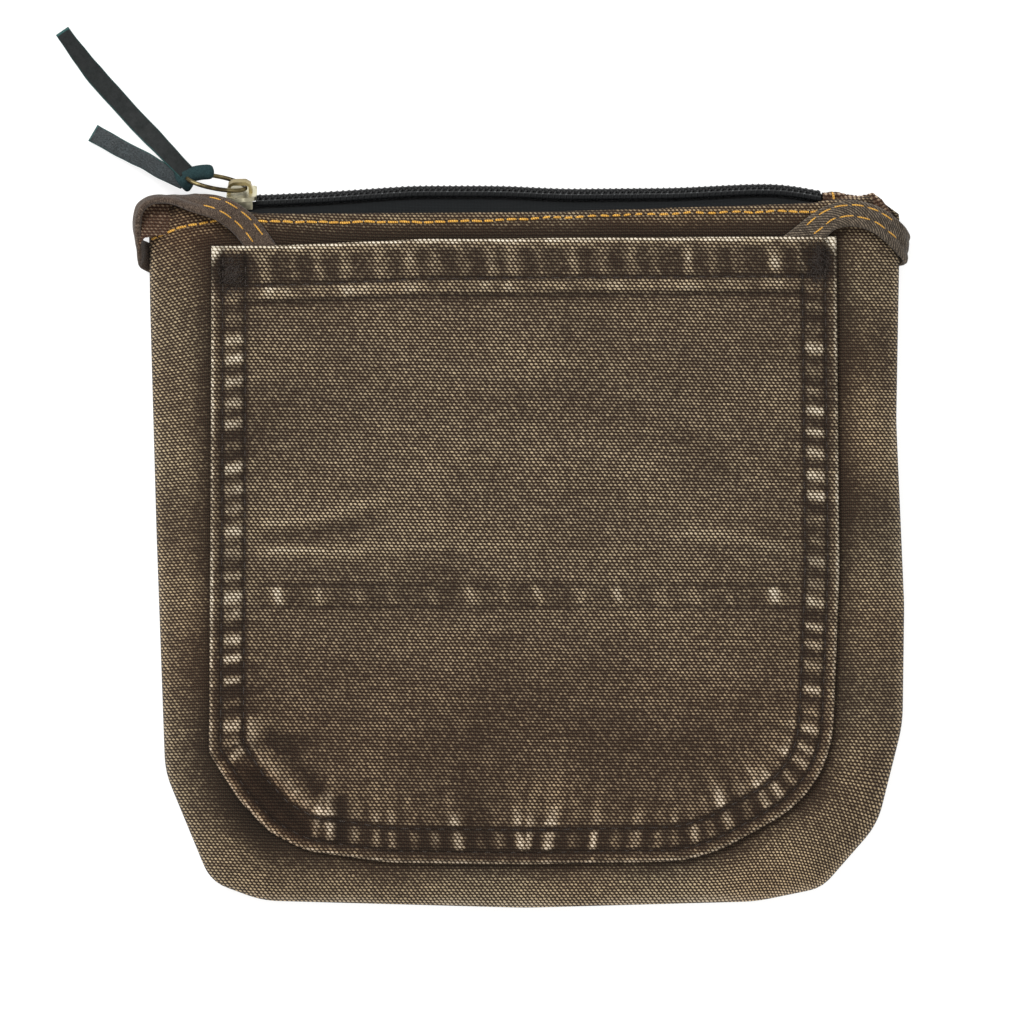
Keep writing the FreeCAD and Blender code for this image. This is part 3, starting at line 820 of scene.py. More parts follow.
# Patch pocket -----------------------------------------------------------------------------------

# how far each row of stitches, and the hem's fold, lies from the pocket's edge
OUTER_ROW = 2.9
INNER_ROW = 8.6
HEM_ROW = 10.0
HEM_FOLD = 14.3
BAND_TOP, BAND_LOW = -8.9, -14.6


class Ticks:
    """Ridges across a seam at uneven steps, as washing leaves them between rows of stitches."""

    def __init__(self, seed, length, step, spread, width):
        rng = np.random.default_rng(seed)
        self.at = np.arange(step * 0.5, length, step)
        self.at = self.at + rng.uniform(-spread, spread, len(self.at))
        self.strong = rng.uniform(0.35, 1.0, len(self.at))
        self.wide = width * rng.uniform(0.7, 1.35, len(self.at))

    def __call__(self, along):
        total = np.zeros_like(along)
        for at, strong, wide in zip(self.at, self.strong, self.wide):
            total += strong * np.exp(-np.abs((along - at) / wide) ** 2.4)
        return np.clip(total, 0, 1.2)


def between(value, low, high, soft=0.6):
    return rise(value, low - soft, low + soft) * (1 - rise(value, high - soft, high + soft))


def pocket_fields(x, y):
    """Height over the front panel, wear, and painted shade with random tone of the pocket at each place.
    """
    places = np.stack([x, y], axis=1)
    side, along = nearest(places, POCKET_SIDES)
    lip, across = nearest(places, POCKET_LIP)
    side_length, lip_length = step_lengths(POCKET_SIDES).sum(), step_lengths(POCKET_LIP).sum()
    seam_ticks = Ticks(41, side_length, 5.35, 0.55, 1.6)
    fan_ticks = Ticks(41, side_length, 5.35, 0.55, 2.1)
    long_folds = Ticks(42, side_length, 13.0, 4.5, 4.0)
    hem_ticks = Ticks(43, lip_length, 7.0, 1.3, 1.7)
    below_hem = Ticks(44, lip_length, 6.4, 1.6, 2.6)
    band_ticks = Ticks(45, 150, 9.4, 2.4, 1.5)
    slant = along + 0.16 * side * np.where(x < 0, 1, -1)
    below = rise(lip, HEM_FOLD - 1, HEM_FOLD + 2)
    cut_off = hump((x + 67) * 0.64 - (y + 66) * 0.77, 0, 13) * rise(-x, 46, 56) * rise(-y, 50, 56)

    ladder = seam_ticks(slant)
    ridge = ladder * between(side, OUTER_ROW + 0.5, INNER_ROW - 0.4, 0.45) * below * (1 - 0.75 * cut_off)
    round_bottom = 0.35 + 0.65 * rise(-y, 30, 62) + 0.35 * rise(np.abs(x), 20, 60) * rise(-y, 20, 50)
    reach = 3.4 + 4.6 * rise(-y, 30, 66)
    fan = fan_ticks(slant) * (0.55 + 0.45 * long_folds(slant))
    fan = fan * rise(side, INNER_ROW + 0.2, INNER_ROW + 1.4)
    fan = fan * np.exp(-np.clip(side - INNER_ROW - 1.2, 0, 99) / reach)
    fan = fan * below * round_bottom * (1 - 0.8 * cut_off)
    hem = hem_ticks(across + 0.12 * lip) * between(lip, 2.3, HEM_ROW - 0.5) * rise(side, 5, 9)
    hem_low = below_hem(across) * between(lip, HEM_ROW + 0.4, HEM_FOLD - 0.8, 0.5) * rise(side, 3, 6)
    band = band_ticks(x + 76 + 0.25 * (y + 12)) * between(y, BAND_LOW + 0.6, BAND_TOP - 0.6, 0.5)
    band = band * rise(side, 9, 14)

    stitched = hump(side, OUTER_ROW, 0.55) + hump(side, INNER_ROW, 0.65) * rise(lip, 0, 3)
    hem_line = hump(lip, HEM_ROW, 0.55) * rise(side, 3, 5)
    hem_fold = hump(lip, HEM_FOLD, 0.9) * rise(side, 5, 9)
    band_lines = (hump(y, BAND_TOP, 0.55) + hump(y, BAND_LOW, 0.55)) * rise(side, 9, 14)
    edge = np.minimum(side, lip)
    rolled = 1 - (1 - np.clip(edge / 1.15, 0, 1)) ** 2
    turned = 0.45 * (1 - rise(side, INNER_ROW, INNER_ROW + 1.6))
    turned = np.maximum(turned, 0.45 * (1 - rise(lip, HEM_FOLD - 0.8, HEM_FOLD + 0.6)))
    roll = 0.30 * hump(side, 1.3, 0.9) + 0.25 * hump(lip, 1.2, 0.9)
    uneven = ripple(x, y, 46, 30) * 0.45 + ripple(x, y, 47, 11) * 0.12
    loops = 0.75 * spot(x, y, -66, 75, 5.5) + 0.75 * spot(x, y, 68, 76, 5.5)
    crease = diagonal_crease(x, y)
    waves = mid_waves(x, y) * rise(side, 9, 16)
    height = 0.15 + 1.15 * np.sqrt(np.clip(rolled, 0, 1)) + turned + roll + loops
    height += (
        0.50 * ridge + 0.55 * fan + 0.38 * hem + 0.34 * hem_low + 0.26 * band
        + 0.75 * crease + 0.35 * waves
    )
    height -= 0.60 * stitched + 0.50 * hem_line + 0.20 * band_lines + 0.35 * hem_fold
    height += uneven * rise(edge, 2, 12) * (1 - 0.7 * between(side, 0, INNER_ROW))

    speckle = 0.5 + 0.5 * ripple(x, y, 48, 4.5)
    patchy = 0.5 + 0.5 * ripple(x, y, 55, 9)
    long_wear = 0.5 + 0.5 * ripple(along, 0 * along, 49, 26)
    frayed = 0.55 * cut_off
    wear = (0.42 + 0.30 * ladder + 0.25 * long_wear) * 0.90 * hump(side, 0.45, 0.62)
    wear += 0.85 * hump(lip, 0.35, 0.75) * (0.7 + 0.3 * speckle) + 0.30 * hump(lip, 1.5, 1.0) * speckle
    wear += 0.80 * ridge * (0.75 + 0.25 * speckle) + 1.15 * fan * (0.65 + 0.35 * speckle)
    wear += (0.66 * hem + 0.62 * hem_low) * (0.5 + 0.5 * speckle) + 0.75 * band * (0.5 + 0.5 * speckle)
    wear += 0.40 * np.clip(crease, 0, 1) + 0.35 * frayed * hump(side, 1.0, 1.0)
    level_line = hump(y, 0.3 + 0.8 * ripple(x, 0 * x, 50, 60), 0.9)
    wear += 0.18 * level_line * rise(side, 10, 18) * rise(-x, -30, 20)
    wear += 0.34 * np.clip(waves, 0, 1)
    wear += 0.14 * rise(lip, 18, 40) * (1 - rise(-y, 5, 45)) * (0.4 + 0.6 * ripple(x, y * 2.2, 51, 34))
    # painted shade in the stitch rows' grooves, the hem's fold, the crease's valleys, between the seam's
    # ridges and beside the inner row
    shade = -0.75 * stitched - 0.65 * hem_line - 0.30 * band_lines
    shade = shade - 0.55 * np.clip(-crease, 0, 1) - 0.45 * hem_fold
    shade -= 0.58 * between(side, OUTER_ROW + 0.3, INNER_ROW - 0.3) * (1 - ridge) * below
    shade -= 0.30 * (1 - ladder) * hump(side, 1.2, 1.4)
    shade -= 0.45 * between(lip, 2.6, HEM_ROW - 0.3) * (1 - hem)
    shade -= 0.17 * between(y, BAND_LOW, BAND_TOP, 0.6) * (1 - band) * rise(side, 9, 14)
    beside = 0.42 * rise(side, INNER_ROW, INNER_ROW + 1) * np.exp(-(side - INNER_ROW) / 5) * (1 - fan)
    shade -= beside * below * (0.4 + 0.6 * round_bottom)
    # random tone, darker towards the bottom, and painted shade in the waves' valleys and between the
    # rows at the cut-off corner
    shade += 0.10 * ripple(x, y, 52, 60) + 0.05 * patchy - 0.16 * rise(-y, 5, 45) + 0.06
    shade -= 0.35 * np.clip(-waves, 0, 1) + 0.4 * cut_off * between(side, 2.2, INNER_ROW + 0.5)
    tack = 0
    for tack_x, tack_y, wide, tall in ((-73.2, 68.9, 3.9, 5.0), (73.4, 71.6, 3.4, 5.2)):
        tack = tack + np.exp(-(((x - tack_x) / wide) ** 4) - ((y - tack_y) / tall) ** 4)
    shade -= 0.65 * tack
    wear = wear * (1 - 0.85 * np.clip(tack, 0, 1))
    height -= 0.25 * tack
    corner_wear = spot(x, y, -77.6, 74.8, 2.2) + spot(x, y, 77, 77, 2.4)
    wear += 1.1 * corner_wear
    warm = np.clip(0.9 * cut_off * (1 - rise(side, 8, 13)) + 0.20 + 0.35 * rise(-y, 0, 50), 0, 1.2)
    return height, wear, shade, warm


def mid_waves(x, y):
    """Low crooked folds across the middle: one falls from the left, one rises to the right."""
    left = hump(y, 6.5 + 0.16 * (x + 66) + 1.2 * np.sin(x / 7.0), 1.6) * between(x, -68, -34, 6)
    left_low = hump(y, -1.5 + 0.05 * (x + 66) + 0.8 * np.sin(x / 5.0 + 1), 1.3) * between(x, -70, -40, 6)
    right = hump(y, 1.0 - 0.10 * (x - 66) + 0.9 * np.sin(x / 6.0), 1.6) * between(x, 36, 70, 6)
    arch = hump(y, 47 - 0.010 * (x - 5) ** 2, 4.5) * between(x, -40, 58, 14) * 0.22
    arch_low = hump(y, 39 - 0.010 * (x - 5) ** 2, 4.0) * between(x, -40, 58, 14) * 0.15
    dip = hump(y, 3.0 + 0.12 * (x + 66) + np.sin(x / 7.0), 1.5) * between(x, -68, -36, 6)
    return left + left_low + right + arch - arch_low - 0.8 * dip


def diagonal_crease(x, y):
    """The strong folds beside the cut-off lower left corner: a pale ridge between two valleys."""
    u = (x + 61.0) * 0.68 - (y + 60.0) * 0.733
    v = (x + 61.0) * 0.733 + (y + 60.0) * 0.68
    length = between(u, -9, 13, 3.5)
    ridge = hump(v, 1.8 + 0.04 * u, 2.6) * length
    valley = hump(v, 7.2 - 0.05 * u, 2.3) * between(u, -14, 11, 4)
    seam_side = hump(v, -2.6, 1.2) * length
    upright = hump(x, -46.3, 1.9) * between(y, -74, -62, 2)
    level = hump(y, -49.5 + 0.08 * (x + 70), 2.2) * between(x, -72, -52, 4)
    return 1.1 * ridge - 0.8 * valley - 0.7 * seam_side - 0.9 * upright - 0.7 * level


HALF_POCKET = 77.5


def pocket():
    """The patch pocket's cloth, with a wall down to the front panel all round."""
    outline = closed_outline([POCKET_SIDES, POCKET_LIP], 1000)
    at_edge = [0, 0.12, 0.3, 0.55, 0.85, 1.2, 1.6, 2.0]
    offsets = np.concatenate([at_edge, np.arange(2.45, 24, 0.45), np.arange(24, 76, 0.9)])
    points, faces = disc(outline, offsets, HALF_POCKET)
    x, y = points.T
    height, wear, shade, warm = pocket_fields(x, y)
    wall = on_surface(outline, front_height, -0.3)
    bend = 0.35 * ripple(x, y, 53, 70)
    cloth = np.stack([x + bend, y + 0.012 * x + 0.3 * bend, 0 * x], axis=1)
    skirted(
        "pocket_cloth", np.column_stack([points, front_height(x, y) + height]), wall, faces,
        POCKET_CANVAS, "pocket_canvas", "patch_pocket", wear=wear, shade=shade, warm=warm, cloth=cloth,
    )


def pocket_surface(x, y):
    return front_height(x, y) + pocket_fields(np.asarray(x, float), np.asarray(y, float))[0]


# Stitches ---------------------------------------------------------------------------------------


def stitches(name, route, long, gap, wide, material, slot, replaces, proud, seed, normals=None):
    """Separate stitches along a route: each a short thread that dives into the cloth at both ends."""
    route = resampled(route, 0.25)
    rng = np.random.default_rng(seed)
    run = run_along(route)
    rings, around = 9, 8
    points, faces, cloth = [], [], []
    at = gap
    while at + long < run[-1]:
        span = long * rng.uniform(0.88, 1.1)
        steps = np.linspace(at, min(at + span, run[-1]), rings)
        centre = np.stack([np.interp(steps, run, route[:, k]) for k in range(3)], axis=1)
        ahead = unit(np.gradient(centre, axis=0))
        side = unit(np.cross(ahead, UP if normals is None else normals(centre)))
        top = np.cross(side, ahead)
        skew = rng.uniform(-0.12, 0.12)
        bow = np.sin(np.linspace(0.12, math.pi - 0.12, rings)) ** 0.45
        centre = centre + top * ((bow - 1) * wide * 0.8 + proud * wide)[:, None]
        centre = centre + side * (skew * np.linspace(-1, 1, rings))[:, None]
        turns = np.linspace(0, 2 * math.pi, around, endpoint=False)
        radius = wide / 2 * (0.72 + 0.28 * bow)
        base = len(points) * rings * around
        across, lift = np.outer(radius, np.cos(turns)), np.outer(radius, np.sin(turns)) * 0.75
        points.append(rings_about(centre, side, top, across, lift).reshape(-1, 3))
        faces += shifted(grid_faces(rings, around, True), base)
        first_cap, last_cap = range(around), range(rings * around - 1, (rings - 1) * around - 1, -1)
        faces += shifted([first_cap, last_cap], base)
        lengthwise = np.repeat(steps, around)
        turned = np.tile(turns / (2 * math.pi), rings)
        cloth.append(np.stack([lengthwise, turned, 0 * lengthwise], axis=1))
        at += span + gap * rng.uniform(0.8, 1.25)
    cloth = np.concatenate(cloth)
    piece(name, np.concatenate(points), faces, "pouch", material, slot, replaces, cloth=cloth)


def on_surface(line, surface, lift=0.0):
    line = np.asarray(line, float)
    return np.column_stack([line, surface(line[:, 0], line[:, 1]) + lift])


def inside(line, inset):
    """A line drawn in from the pocket's side line, towards its middle."""
    ahead = np.gradient(line, axis=0)
    normal = unit(np.stack([-ahead[:, 1], ahead[:, 0]], axis=1))
    moved = line + normal * inset
    clear = nearest(moved, line)[0] > inset * 0.985
    return moved[clear]


def pocket_rows():
    outer = inside(POCKET_SIDES, OUTER_ROW)
    inner = inside(POCKET_SIDES, INNER_ROW)
    outer = outer[(outer[:, 1] < 74)]
    inner = inner[(inner[:, 1] < 72)]
    hem = inside(POCKET_LIP, HEM_ROW)
    hem = hem[np.abs(hem[:, 0]) < 74]
    for name, row, node, seed in (
        ("pocket_row_outer", outer, "pocket_stitch_outer", 61),
        ("pocket_row_inner", inner, "pocket_stitch_inner", 62),
        ("pocket_hem_row", hem, "pocket_hem_stitch", 63),
    ):
        route = on_surface(row, pocket_surface)
        stitches(name, route, 2.4, 0.7, 0.36, BROWN, "brown_thread", [node], 0.05, seed)


def bar_tacks():
    """Old dense tacks at both ends of the pocket's mouth: many short threads lying side by side."""
    rng = np.random.default_rng(64)
    points, faces, cloth = [], [], []
    for tack_x, tack_y, lean in ((-73.0, 68.6, 0.55), (73.6, 71.8, -0.7)):
        for _ in range(190):
            x = tack_x + rng.normal(0, 1.7)
            y = tack_y + rng.normal(0, 2.5)
            turn = lean + rng.normal(0, 0.75)
            long = rng.uniform(0.9, 2.0)
            steps = np.linspace(-0.5, 0.5, 5)
            line = np.column_stack(
                [x + steps * long * math.cos(turn), y + steps * long * math.sin(turn) + 0.25 * steps**2]
            )
            centre = on_surface(line, pocket_surface, rng.uniform(0.0, 0.12))
            centre[[0, -1], 2] -= 0.3
            base = len(points) * 15
            ahead = line[-1] - line[0]
            side = np.array([-ahead[1], ahead[0], 0]) / np.linalg.norm(ahead) * 0.075
            ring = np.stack([centre - side, centre + [0, 0, 0.09], centre + side], axis=1)
            points.append(ring.reshape(-1, 3))
            faces += shifted(grid_faces(5, 3, True), base)
            cloth.append(np.tile([x, y, 0], (15, 1)))
    piece(
        "bar_tack_threads", np.concatenate(points), faces, "pouch", BROWN, "brown_thread", ["bar_tacks"],
        cloth=np.concatenate(cloth),
    )


def front_topstitch():
    """The gold row along the fold of the front panel."""
    places = [
        (-94.0, 77.6), (-90, 79.0), (-86.5, 80.2), (-82, 81.3), (-77.2, 82.0), (-71, 82.1),
        (-65.5, 82.0), (-48, 81.7), (-27, 81.8), (-10, 82.1), (5, 82.7), (28, 83.7),
        (54, 84.3), (65, 84.5), (74, 84.4), (79, 84.6), (84, 84.8),
    ]
    route = resampled(places, 0.5)
    wobble = 0.16 * ripple(route[:, 0], route[:, 1], 65, 9)
    route[:, 1] += wobble
    route3 = on_surface(route, front_height)
    route3[:, 2] -= 2.2 * rise(-route[:, 0], 84, 94) * rise(route[:, 1], 78, 86) + 0.1
    stitches(
        "front_topstitch_gold", route3, 2.45, 0.5, 0.62, GOLD, "gold_thread", ["topstitch_front"],
        0.5, 66,
    )


# Belt loops -------------------------------------------------------------------------------------

LOOP_WIDE = 6.8
LEFT_LOOP = [
    # centre x, y, z, the width direction, then the thickness
    (-62.0, 69.9, 11.78, 0.76, 0.65, 0.0, 1.2),
    (-64.4, 73.2, 11.78, 0.76, 0.65, 0.0, 1.2),
    (-67.3, 77.4, 11.78, 0.75, 0.66, 0.0, 1.2),
    (-70.9, 81.6, 12.8, 0.70, 0.68, -0.20, 1.5),
    (-75.7, 84.8, 14.1, 0.46, 0.80, -0.38, 1.7),
    (-81.3, 86.3, 13.2, 0.12, 0.70, -0.70, 1.7),
    (-87.6, 87.4, 10.7, -0.03, 0.22, -0.97, 1.8),
    (-93.4, 87.3, 8.6, -0.20, 0.15, -0.97, 1.8),
    (-96.5, 85.1, 7.5, -0.22, 0.10, -0.97, 1.8),
    (-97.3, 81.4, 6.6, -0.15, 0.05, -0.98, 1.8),
    (-97.0, 78.0, 5.5, -0.05, 0.25, -0.96, 1.7),
    (-96.4, 75.3, 3.9, 0.10, 0.65, -0.75, 1.5),
    (-95.3, 73.7, 1.95, 0.45, 0.85, -0.28, 1.2),
    (-93.4, 72.7, 0.85, 0.45, 0.89, 0.0, 1.2),
    (-91.0, 71.5, 0.72, 0.45, 0.89, 0.0, 1.2),
]
RIGHT_LOOP = [
    (61.9, 71.9, 11.78, -0.52, 0.85, 0.0, 1.2),
    (65.9, 74.9, 11.78, -0.56, 0.83, 0.0, 1.2),
    (69.8, 77.9, 11.8, -0.54, 0.84, 0.0, 1.2),
    (73.3, 80.7, 12.1, -0.42, 0.90, -0.06, 1.3),
    (76.8, 82.9, 13.3, -0.18, 0.92, -0.34, 1.6),
    (81.8, 83.8, 13.1, 0.06, 0.96, -0.26, 1.8),
    (87.2, 82.5, 11.9, 0.30, 0.91, -0.26, 1.8),
    (91.4, 79.9, 9.5, 0.42, 0.87, -0.24, 1.7),
    (94.6, 76.9, 6.2, 0.30, 0.94, -0.16, 1.5),
    (95.7, 75.2, 3.2, 0.10, 0.99, 0.0, 1.3),
    (94.9, 74.7, 1.35, 0.10, 0.99, 0.0, 1.2),
    (92.4, 74.3, 0.72, 0.10, 0.99, 0.0, 1.2),
    (89.6, 74.0, 0.72, 0.10, 0.99, 0.0, 1.2),
]


def smooth_rows(rows, count):
    """A curve through every row, evenly spread, by Catmull-Rom spans."""
    rows = np.asarray(rows, float)
    padded = np.concatenate([[2 * rows[0] - rows[1]], rows, [2 * rows[-1] - rows[-2]]])
    out = []
    for i in range(len(rows) - 1):
        p0, p1, p2, p3 = padded[i : i + 4]
        for t in np.linspace(0, 1, 24, endpoint=i == len(rows) - 2):
            second, third = 2 * p0 - 5 * p1 + 4 * p2 - p3, 3 * p1 - p0 - 3 * p2 + p3
            out.append(0.5 * (2 * p1 + (p2 - p0) * t + second * t**2 + third * t**3))
    return resampled(np.array(out), count=count)


def strap_frame(rows, count=170):
    line = smooth_rows(rows, count)
    centre, width, thick = line[:, :3], line[:, 3:6], line[:, 6]
    ahead = unit(np.gradient(centre, axis=0))
    width = unit(width - ahead * np.sum(width * ahead, axis=1)[:, None])
    normal = np.cross(width, ahead)
    if normal[0, 2] < 0:
        normal = -normal
    return centre, width, normal, thick


def belt_loop(name, rows, node, gold_name, seed, cloth_material, gold_spans):
    """A folded strap with full rounded edges, pinched along its two rows of gold stitches."""
    centre, width, normal, thick = strap_frame(rows)
    across = np.linspace(-1, 1, 31)
    row_places = (0.60, -0.28)
    half = LOOP_WIDE / 2
    edge = np.sqrt(np.clip(1 - np.abs(across) ** 5, 0, 1))
    pinch = sum(0.26 * np.exp(-(((across - r) * half / 0.6) ** 2)) for r in row_places)
    loop_across = np.concatenate([across, across[::-1][1:-1]])
    is_face = np.concatenate([np.ones(len(across)), np.zeros(len(across) - 2)])
    full_edge = np.concatenate([edge, edge[::-1][1:-1]])
    full_pinch = np.concatenate([pinch * edge, 0 * edge[::-1][1:-1]])
    sign = np.where(is_face > 0, 1.12, -1.0)
    lift = thick[:, None] / 2 * full_edge[None] * sign[None] - full_pinch[None]
    run = run_along(centre)
    lift = lift + 0.10 * ripple(run[:, None], loop_across[None, :] * half, seed, 4.0) * is_face[None]
    points = rings_about(centre, width, normal, loop_across[None] * half, lift)
    points[..., 2] = np.maximum(points[..., 2], 0.03)
    around = len(loop_across)
    faces = tube_faces(len(centre), around)
    lengthwise = np.repeat(run, around)
    cloth = np.stack([lengthwise, np.tile(loop_across * half, len(run)), 0 * lengthwise], axis=1)
    wear = np.tile(0.35 * np.abs(loop_across) ** 6, len(run))
    piece(
        name, points.reshape(-1, 3), faces, "pouch", cloth_material, "canvas", [node],
        cloth=cloth, wear=wear,
    )
    for number, (place, (start, stop)) in enumerate(zip(row_places, gold_spans)):
        k = int(np.argmin(np.abs(across - place)))
        route = points[:, k] + normal * 0.03
        first, last = int(start * len(run)), int(stop * len(run))
        finder = lambda at, route=route: normal[
            np.argmin(np.linalg.norm(route[None] - at[:, None], axis=2), axis=1)
        ]
        stitches(
            f"{gold_name}_{number}", route[first:last], 3.5, 0.8, 0.40, GOLD, "gold_thread", (), 0.10,
            seed + number, finder,
        )


# Zip --------------------------------------------------------------------------------------------

TILT = math.radians(0.9)
TAPE_SLOPE = 0.0157
TAPE_THICK = 0.28
LEAN = math.radians(25.0)
CHAIN_Y, CHAIN_Z = 88.5, 6.4
CHAIN_LEFT, CHAIN_RIGHT = -67.4, 75.4
COIL_PITCH = 1.49
WAVE = [
    (-80, -0.2), (-66, -0.1), (-50, 0.4), (-28, 1.6), (-6, 1.25), (10, 0.2),
    (38, 0.0), (54, 0.6), (62, 0.7), (69, -0.2), (76, -1.8),
]


def chain_wave(x):
    """How far the soft chain strays from its straight line across the mouth."""
    xs, ys = np.array(WAVE).T
    dense = np.linspace(xs[0], xs[-1], 400)
    raw = np.interp(dense, xs, ys)
    kernel = np.hanning(41)
    smooth = np.convolve(np.pad(raw, 20, "edge"), kernel / kernel.sum(), "valid")
    return np.interp(x, dense, smooth)


def zip_place(x, back, out):
    """A place given along the zip, across it towards the back, and outwards, carried to the frame."""
    x, back, out = np.broadcast_arrays(x, back, out)
    y = CHAIN_Y + chain_wave(x) + back * math.sin(LEAN) + out * math.cos(LEAN)
    z = CHAIN_Z - back * math.cos(LEAN) + out * math.sin(LEAN)
    return np.stack([x * math.cos(TILT), y + x * math.sin(TILT), z], axis=-1)


def coil(name, side, x_from, x_to, body, node):
    """Half a nylon coil: flattened turns of monofilament, whose heads reach the chain's middle."""
    turns = int((x_to - x_from) / COIL_PITCH)
    per_turn, around, wire = 20, 6, 0.30
    angle = np.linspace(0, 2 * math.pi * turns, turns * per_turn + 1)
    offset = 0 if side < 0 else COIL_PITCH / 2
    x = x_from + offset + angle * COIL_PITCH / (2 * math.pi)
    reach = np.cos(angle)
    back = side * (1.22 + 1.42 * np.sign(reach) * np.abs(reach) ** 0.8)
    out = 0.50 * np.sign(np.sin(angle)) * np.abs(np.sin(angle)) ** 0.5
    flare = 1.0 + 0.35 * hump(reach, -1.0, 0.35)
    centre = zip_place(x, back, out)
    ahead = unit(np.gradient(centre, axis=0))
    first = unit(np.cross(ahead, [math.cos(TILT), math.sin(TILT), 0]))
    second = np.cross(ahead, first)
    bend = np.linspace(0, 2 * math.pi, around, endpoint=False)
    ring = centre[:, None] + (
        first[:, None] * np.cos(bend)[None, :, None] + second[:, None] * np.sin(bend)[None, :, None]
    ) * (wire * flare)[:, None, None]
    # where the painted glints go: the tops of the turns' outer side
    crest = np.repeat(np.where(out > 0, hump(reach, 0.35, 0.25), 0.0), around)
    faces = grid_faces(len(centre), around, True)
    core_x = np.linspace(x_from, x_from + turns * COIL_PITCH, turns * 3)
    bend = np.linspace(0, 2 * math.pi, 12, endpoint=False)
    bead = 1 + 0.05 * np.sin(2 * math.pi * core_x / COIL_PITCH * 2)
    core_back = side * (1.60 + 1.16 * np.cos(bend)[None] * bead[:, None])
    core = zip_place(core_x[:, None], core_back, 0.62 * np.sin(bend)[None] * bead[:, None])
    faces += shifted(grid_faces(len(core_x), 12, True), len(centre) * around)
    points = np.concatenate([ring.reshape(-1, 3), core.reshape(-1, 3)])
    crest = np.concatenate([crest, np.zeros(len(core_x) * 12)])
    return piece(name, points, faces, body, NYLON, "zip_nylon", node, crest=crest)


def tape_strip(name, side, x_from, x_to, body, node, fold, columns=90, rows=12):
    """The strip of tape from under the coil to the fold of the canvas, a little slack between them."""
    x = np.linspace(x_from, x_to, columns)
    start = zip_place(x, side * 0.1, -1.4)
    finish = fold(x)
    under = zip_place(x, side * 2.7, -1.35)
    lines = []
    for t in np.linspace(0, 1, rows):
        if t < 0.4:
            lines.append(start + (under - start) * (t / 0.4))
        else:
            s = (t - 0.4) / 0.6
            line = under + (finish - under) * s
            line[:, 2] -= 0.35 * math.sin(math.pi * s) * side
            line[:, 1] += 0.25 * math.sin(math.pi * s)
            lines.append(line)
    run = run_along(np.stack(lines)[:, columns // 2])
    top = np.concatenate(lines)
    faces = grid_faces(rows, columns) + shifted(grid_faces(rows, columns, flip=True), rows * columns)
    cloth = np.stack([np.tile(x, rows), np.repeat(run, columns), np.zeros(rows * columns)], axis=1)
    return piece(
        name, np.concatenate([top, top - [0, TAPE_THICK, TAPE_THICK]]), faces, body, TAPE, "zip_tape",
        node, cloth=np.concatenate([cloth, cloth]),
    )


def front_fold(x):
    """Just inside the fold of the front panel, where the front tape goes under the canvas."""
    edge = rounded(MOUTH_EDGE, 1.0)[::-1]
    y = np.interp(x, edge[:, 0], edge[:, 1]) - 0.9
    return np.stack([x, y, front_height(x, y) - 1.0], axis=1)


def back_fold(x):
    return np.stack([x, 87.4 + TAPE_SLOPE * x, 1.7 + 0 * x], axis=1)


def zipper():
    """Both halves of the chain, with the front half made in two pieces, left and right of the middle."""
    middle = (CHAIN_LEFT + CHAIN_RIGHT) / 2
    tape_left, tape_right = CHAIN_LEFT - 8, CHAIN_RIGHT + 4
    coil("coil_back", 1, CHAIN_LEFT, CHAIN_RIGHT, "pouch", ["zipper_coil_back"])
    tape_strip("tape_back", 1, tape_left, tape_right, "pouch", ["zipper_tape_back"], back_fold)
    cut = CHAIN_LEFT + round((middle - CHAIN_LEFT) / COIL_PITCH) * COIL_PITCH
    for name, coil_span, tape_span, end, coil_node, tape_node in (
        (
            "left", (CHAIN_LEFT, cut), (tape_left, middle), CHAIN_LEFT,
            ["zipper_coil_front"], ["zipper_tape_front"],
        ),
        ("right", (cut, CHAIN_RIGHT), (middle, tape_right), CHAIN_RIGHT, (), ()),
    ):
        half = coil(f"coil_front_{name}", -1, *coil_span, None, coil_node)
        strip = tape_strip(f"tape_front_{name}", -1, *tape_span, None, tape_node, front_fold, 50)
        for obj in (half, strip):
            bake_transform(obj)


def sewn_tape(name, node):
    """A strip of tape caught inside the canvas, with its own weave."""
    low, high = node_box(node)
    columns, rows, deep = 60, 6, 8.6
    x = np.linspace(low[0] + 0.5, high[0] - 0.5, columns)
    points = []
    for level in (high[2] - 0.02, low[2] + 0.02):
        for t in np.linspace(0, 1, rows):
            y = (low[1] + high[1]) / 2 + TAPE_SLOPE * x + (t - 0.5) * deep
            points.append(np.stack([x, y, np.full(columns, level)], axis=1))
    points = np.concatenate(points)
    faces = grid_faces(2 * rows, columns)
    piece(name, points, faces, "pouch", TAPE, "zip_tape", [node], cloth=points * [1, 1, 0])


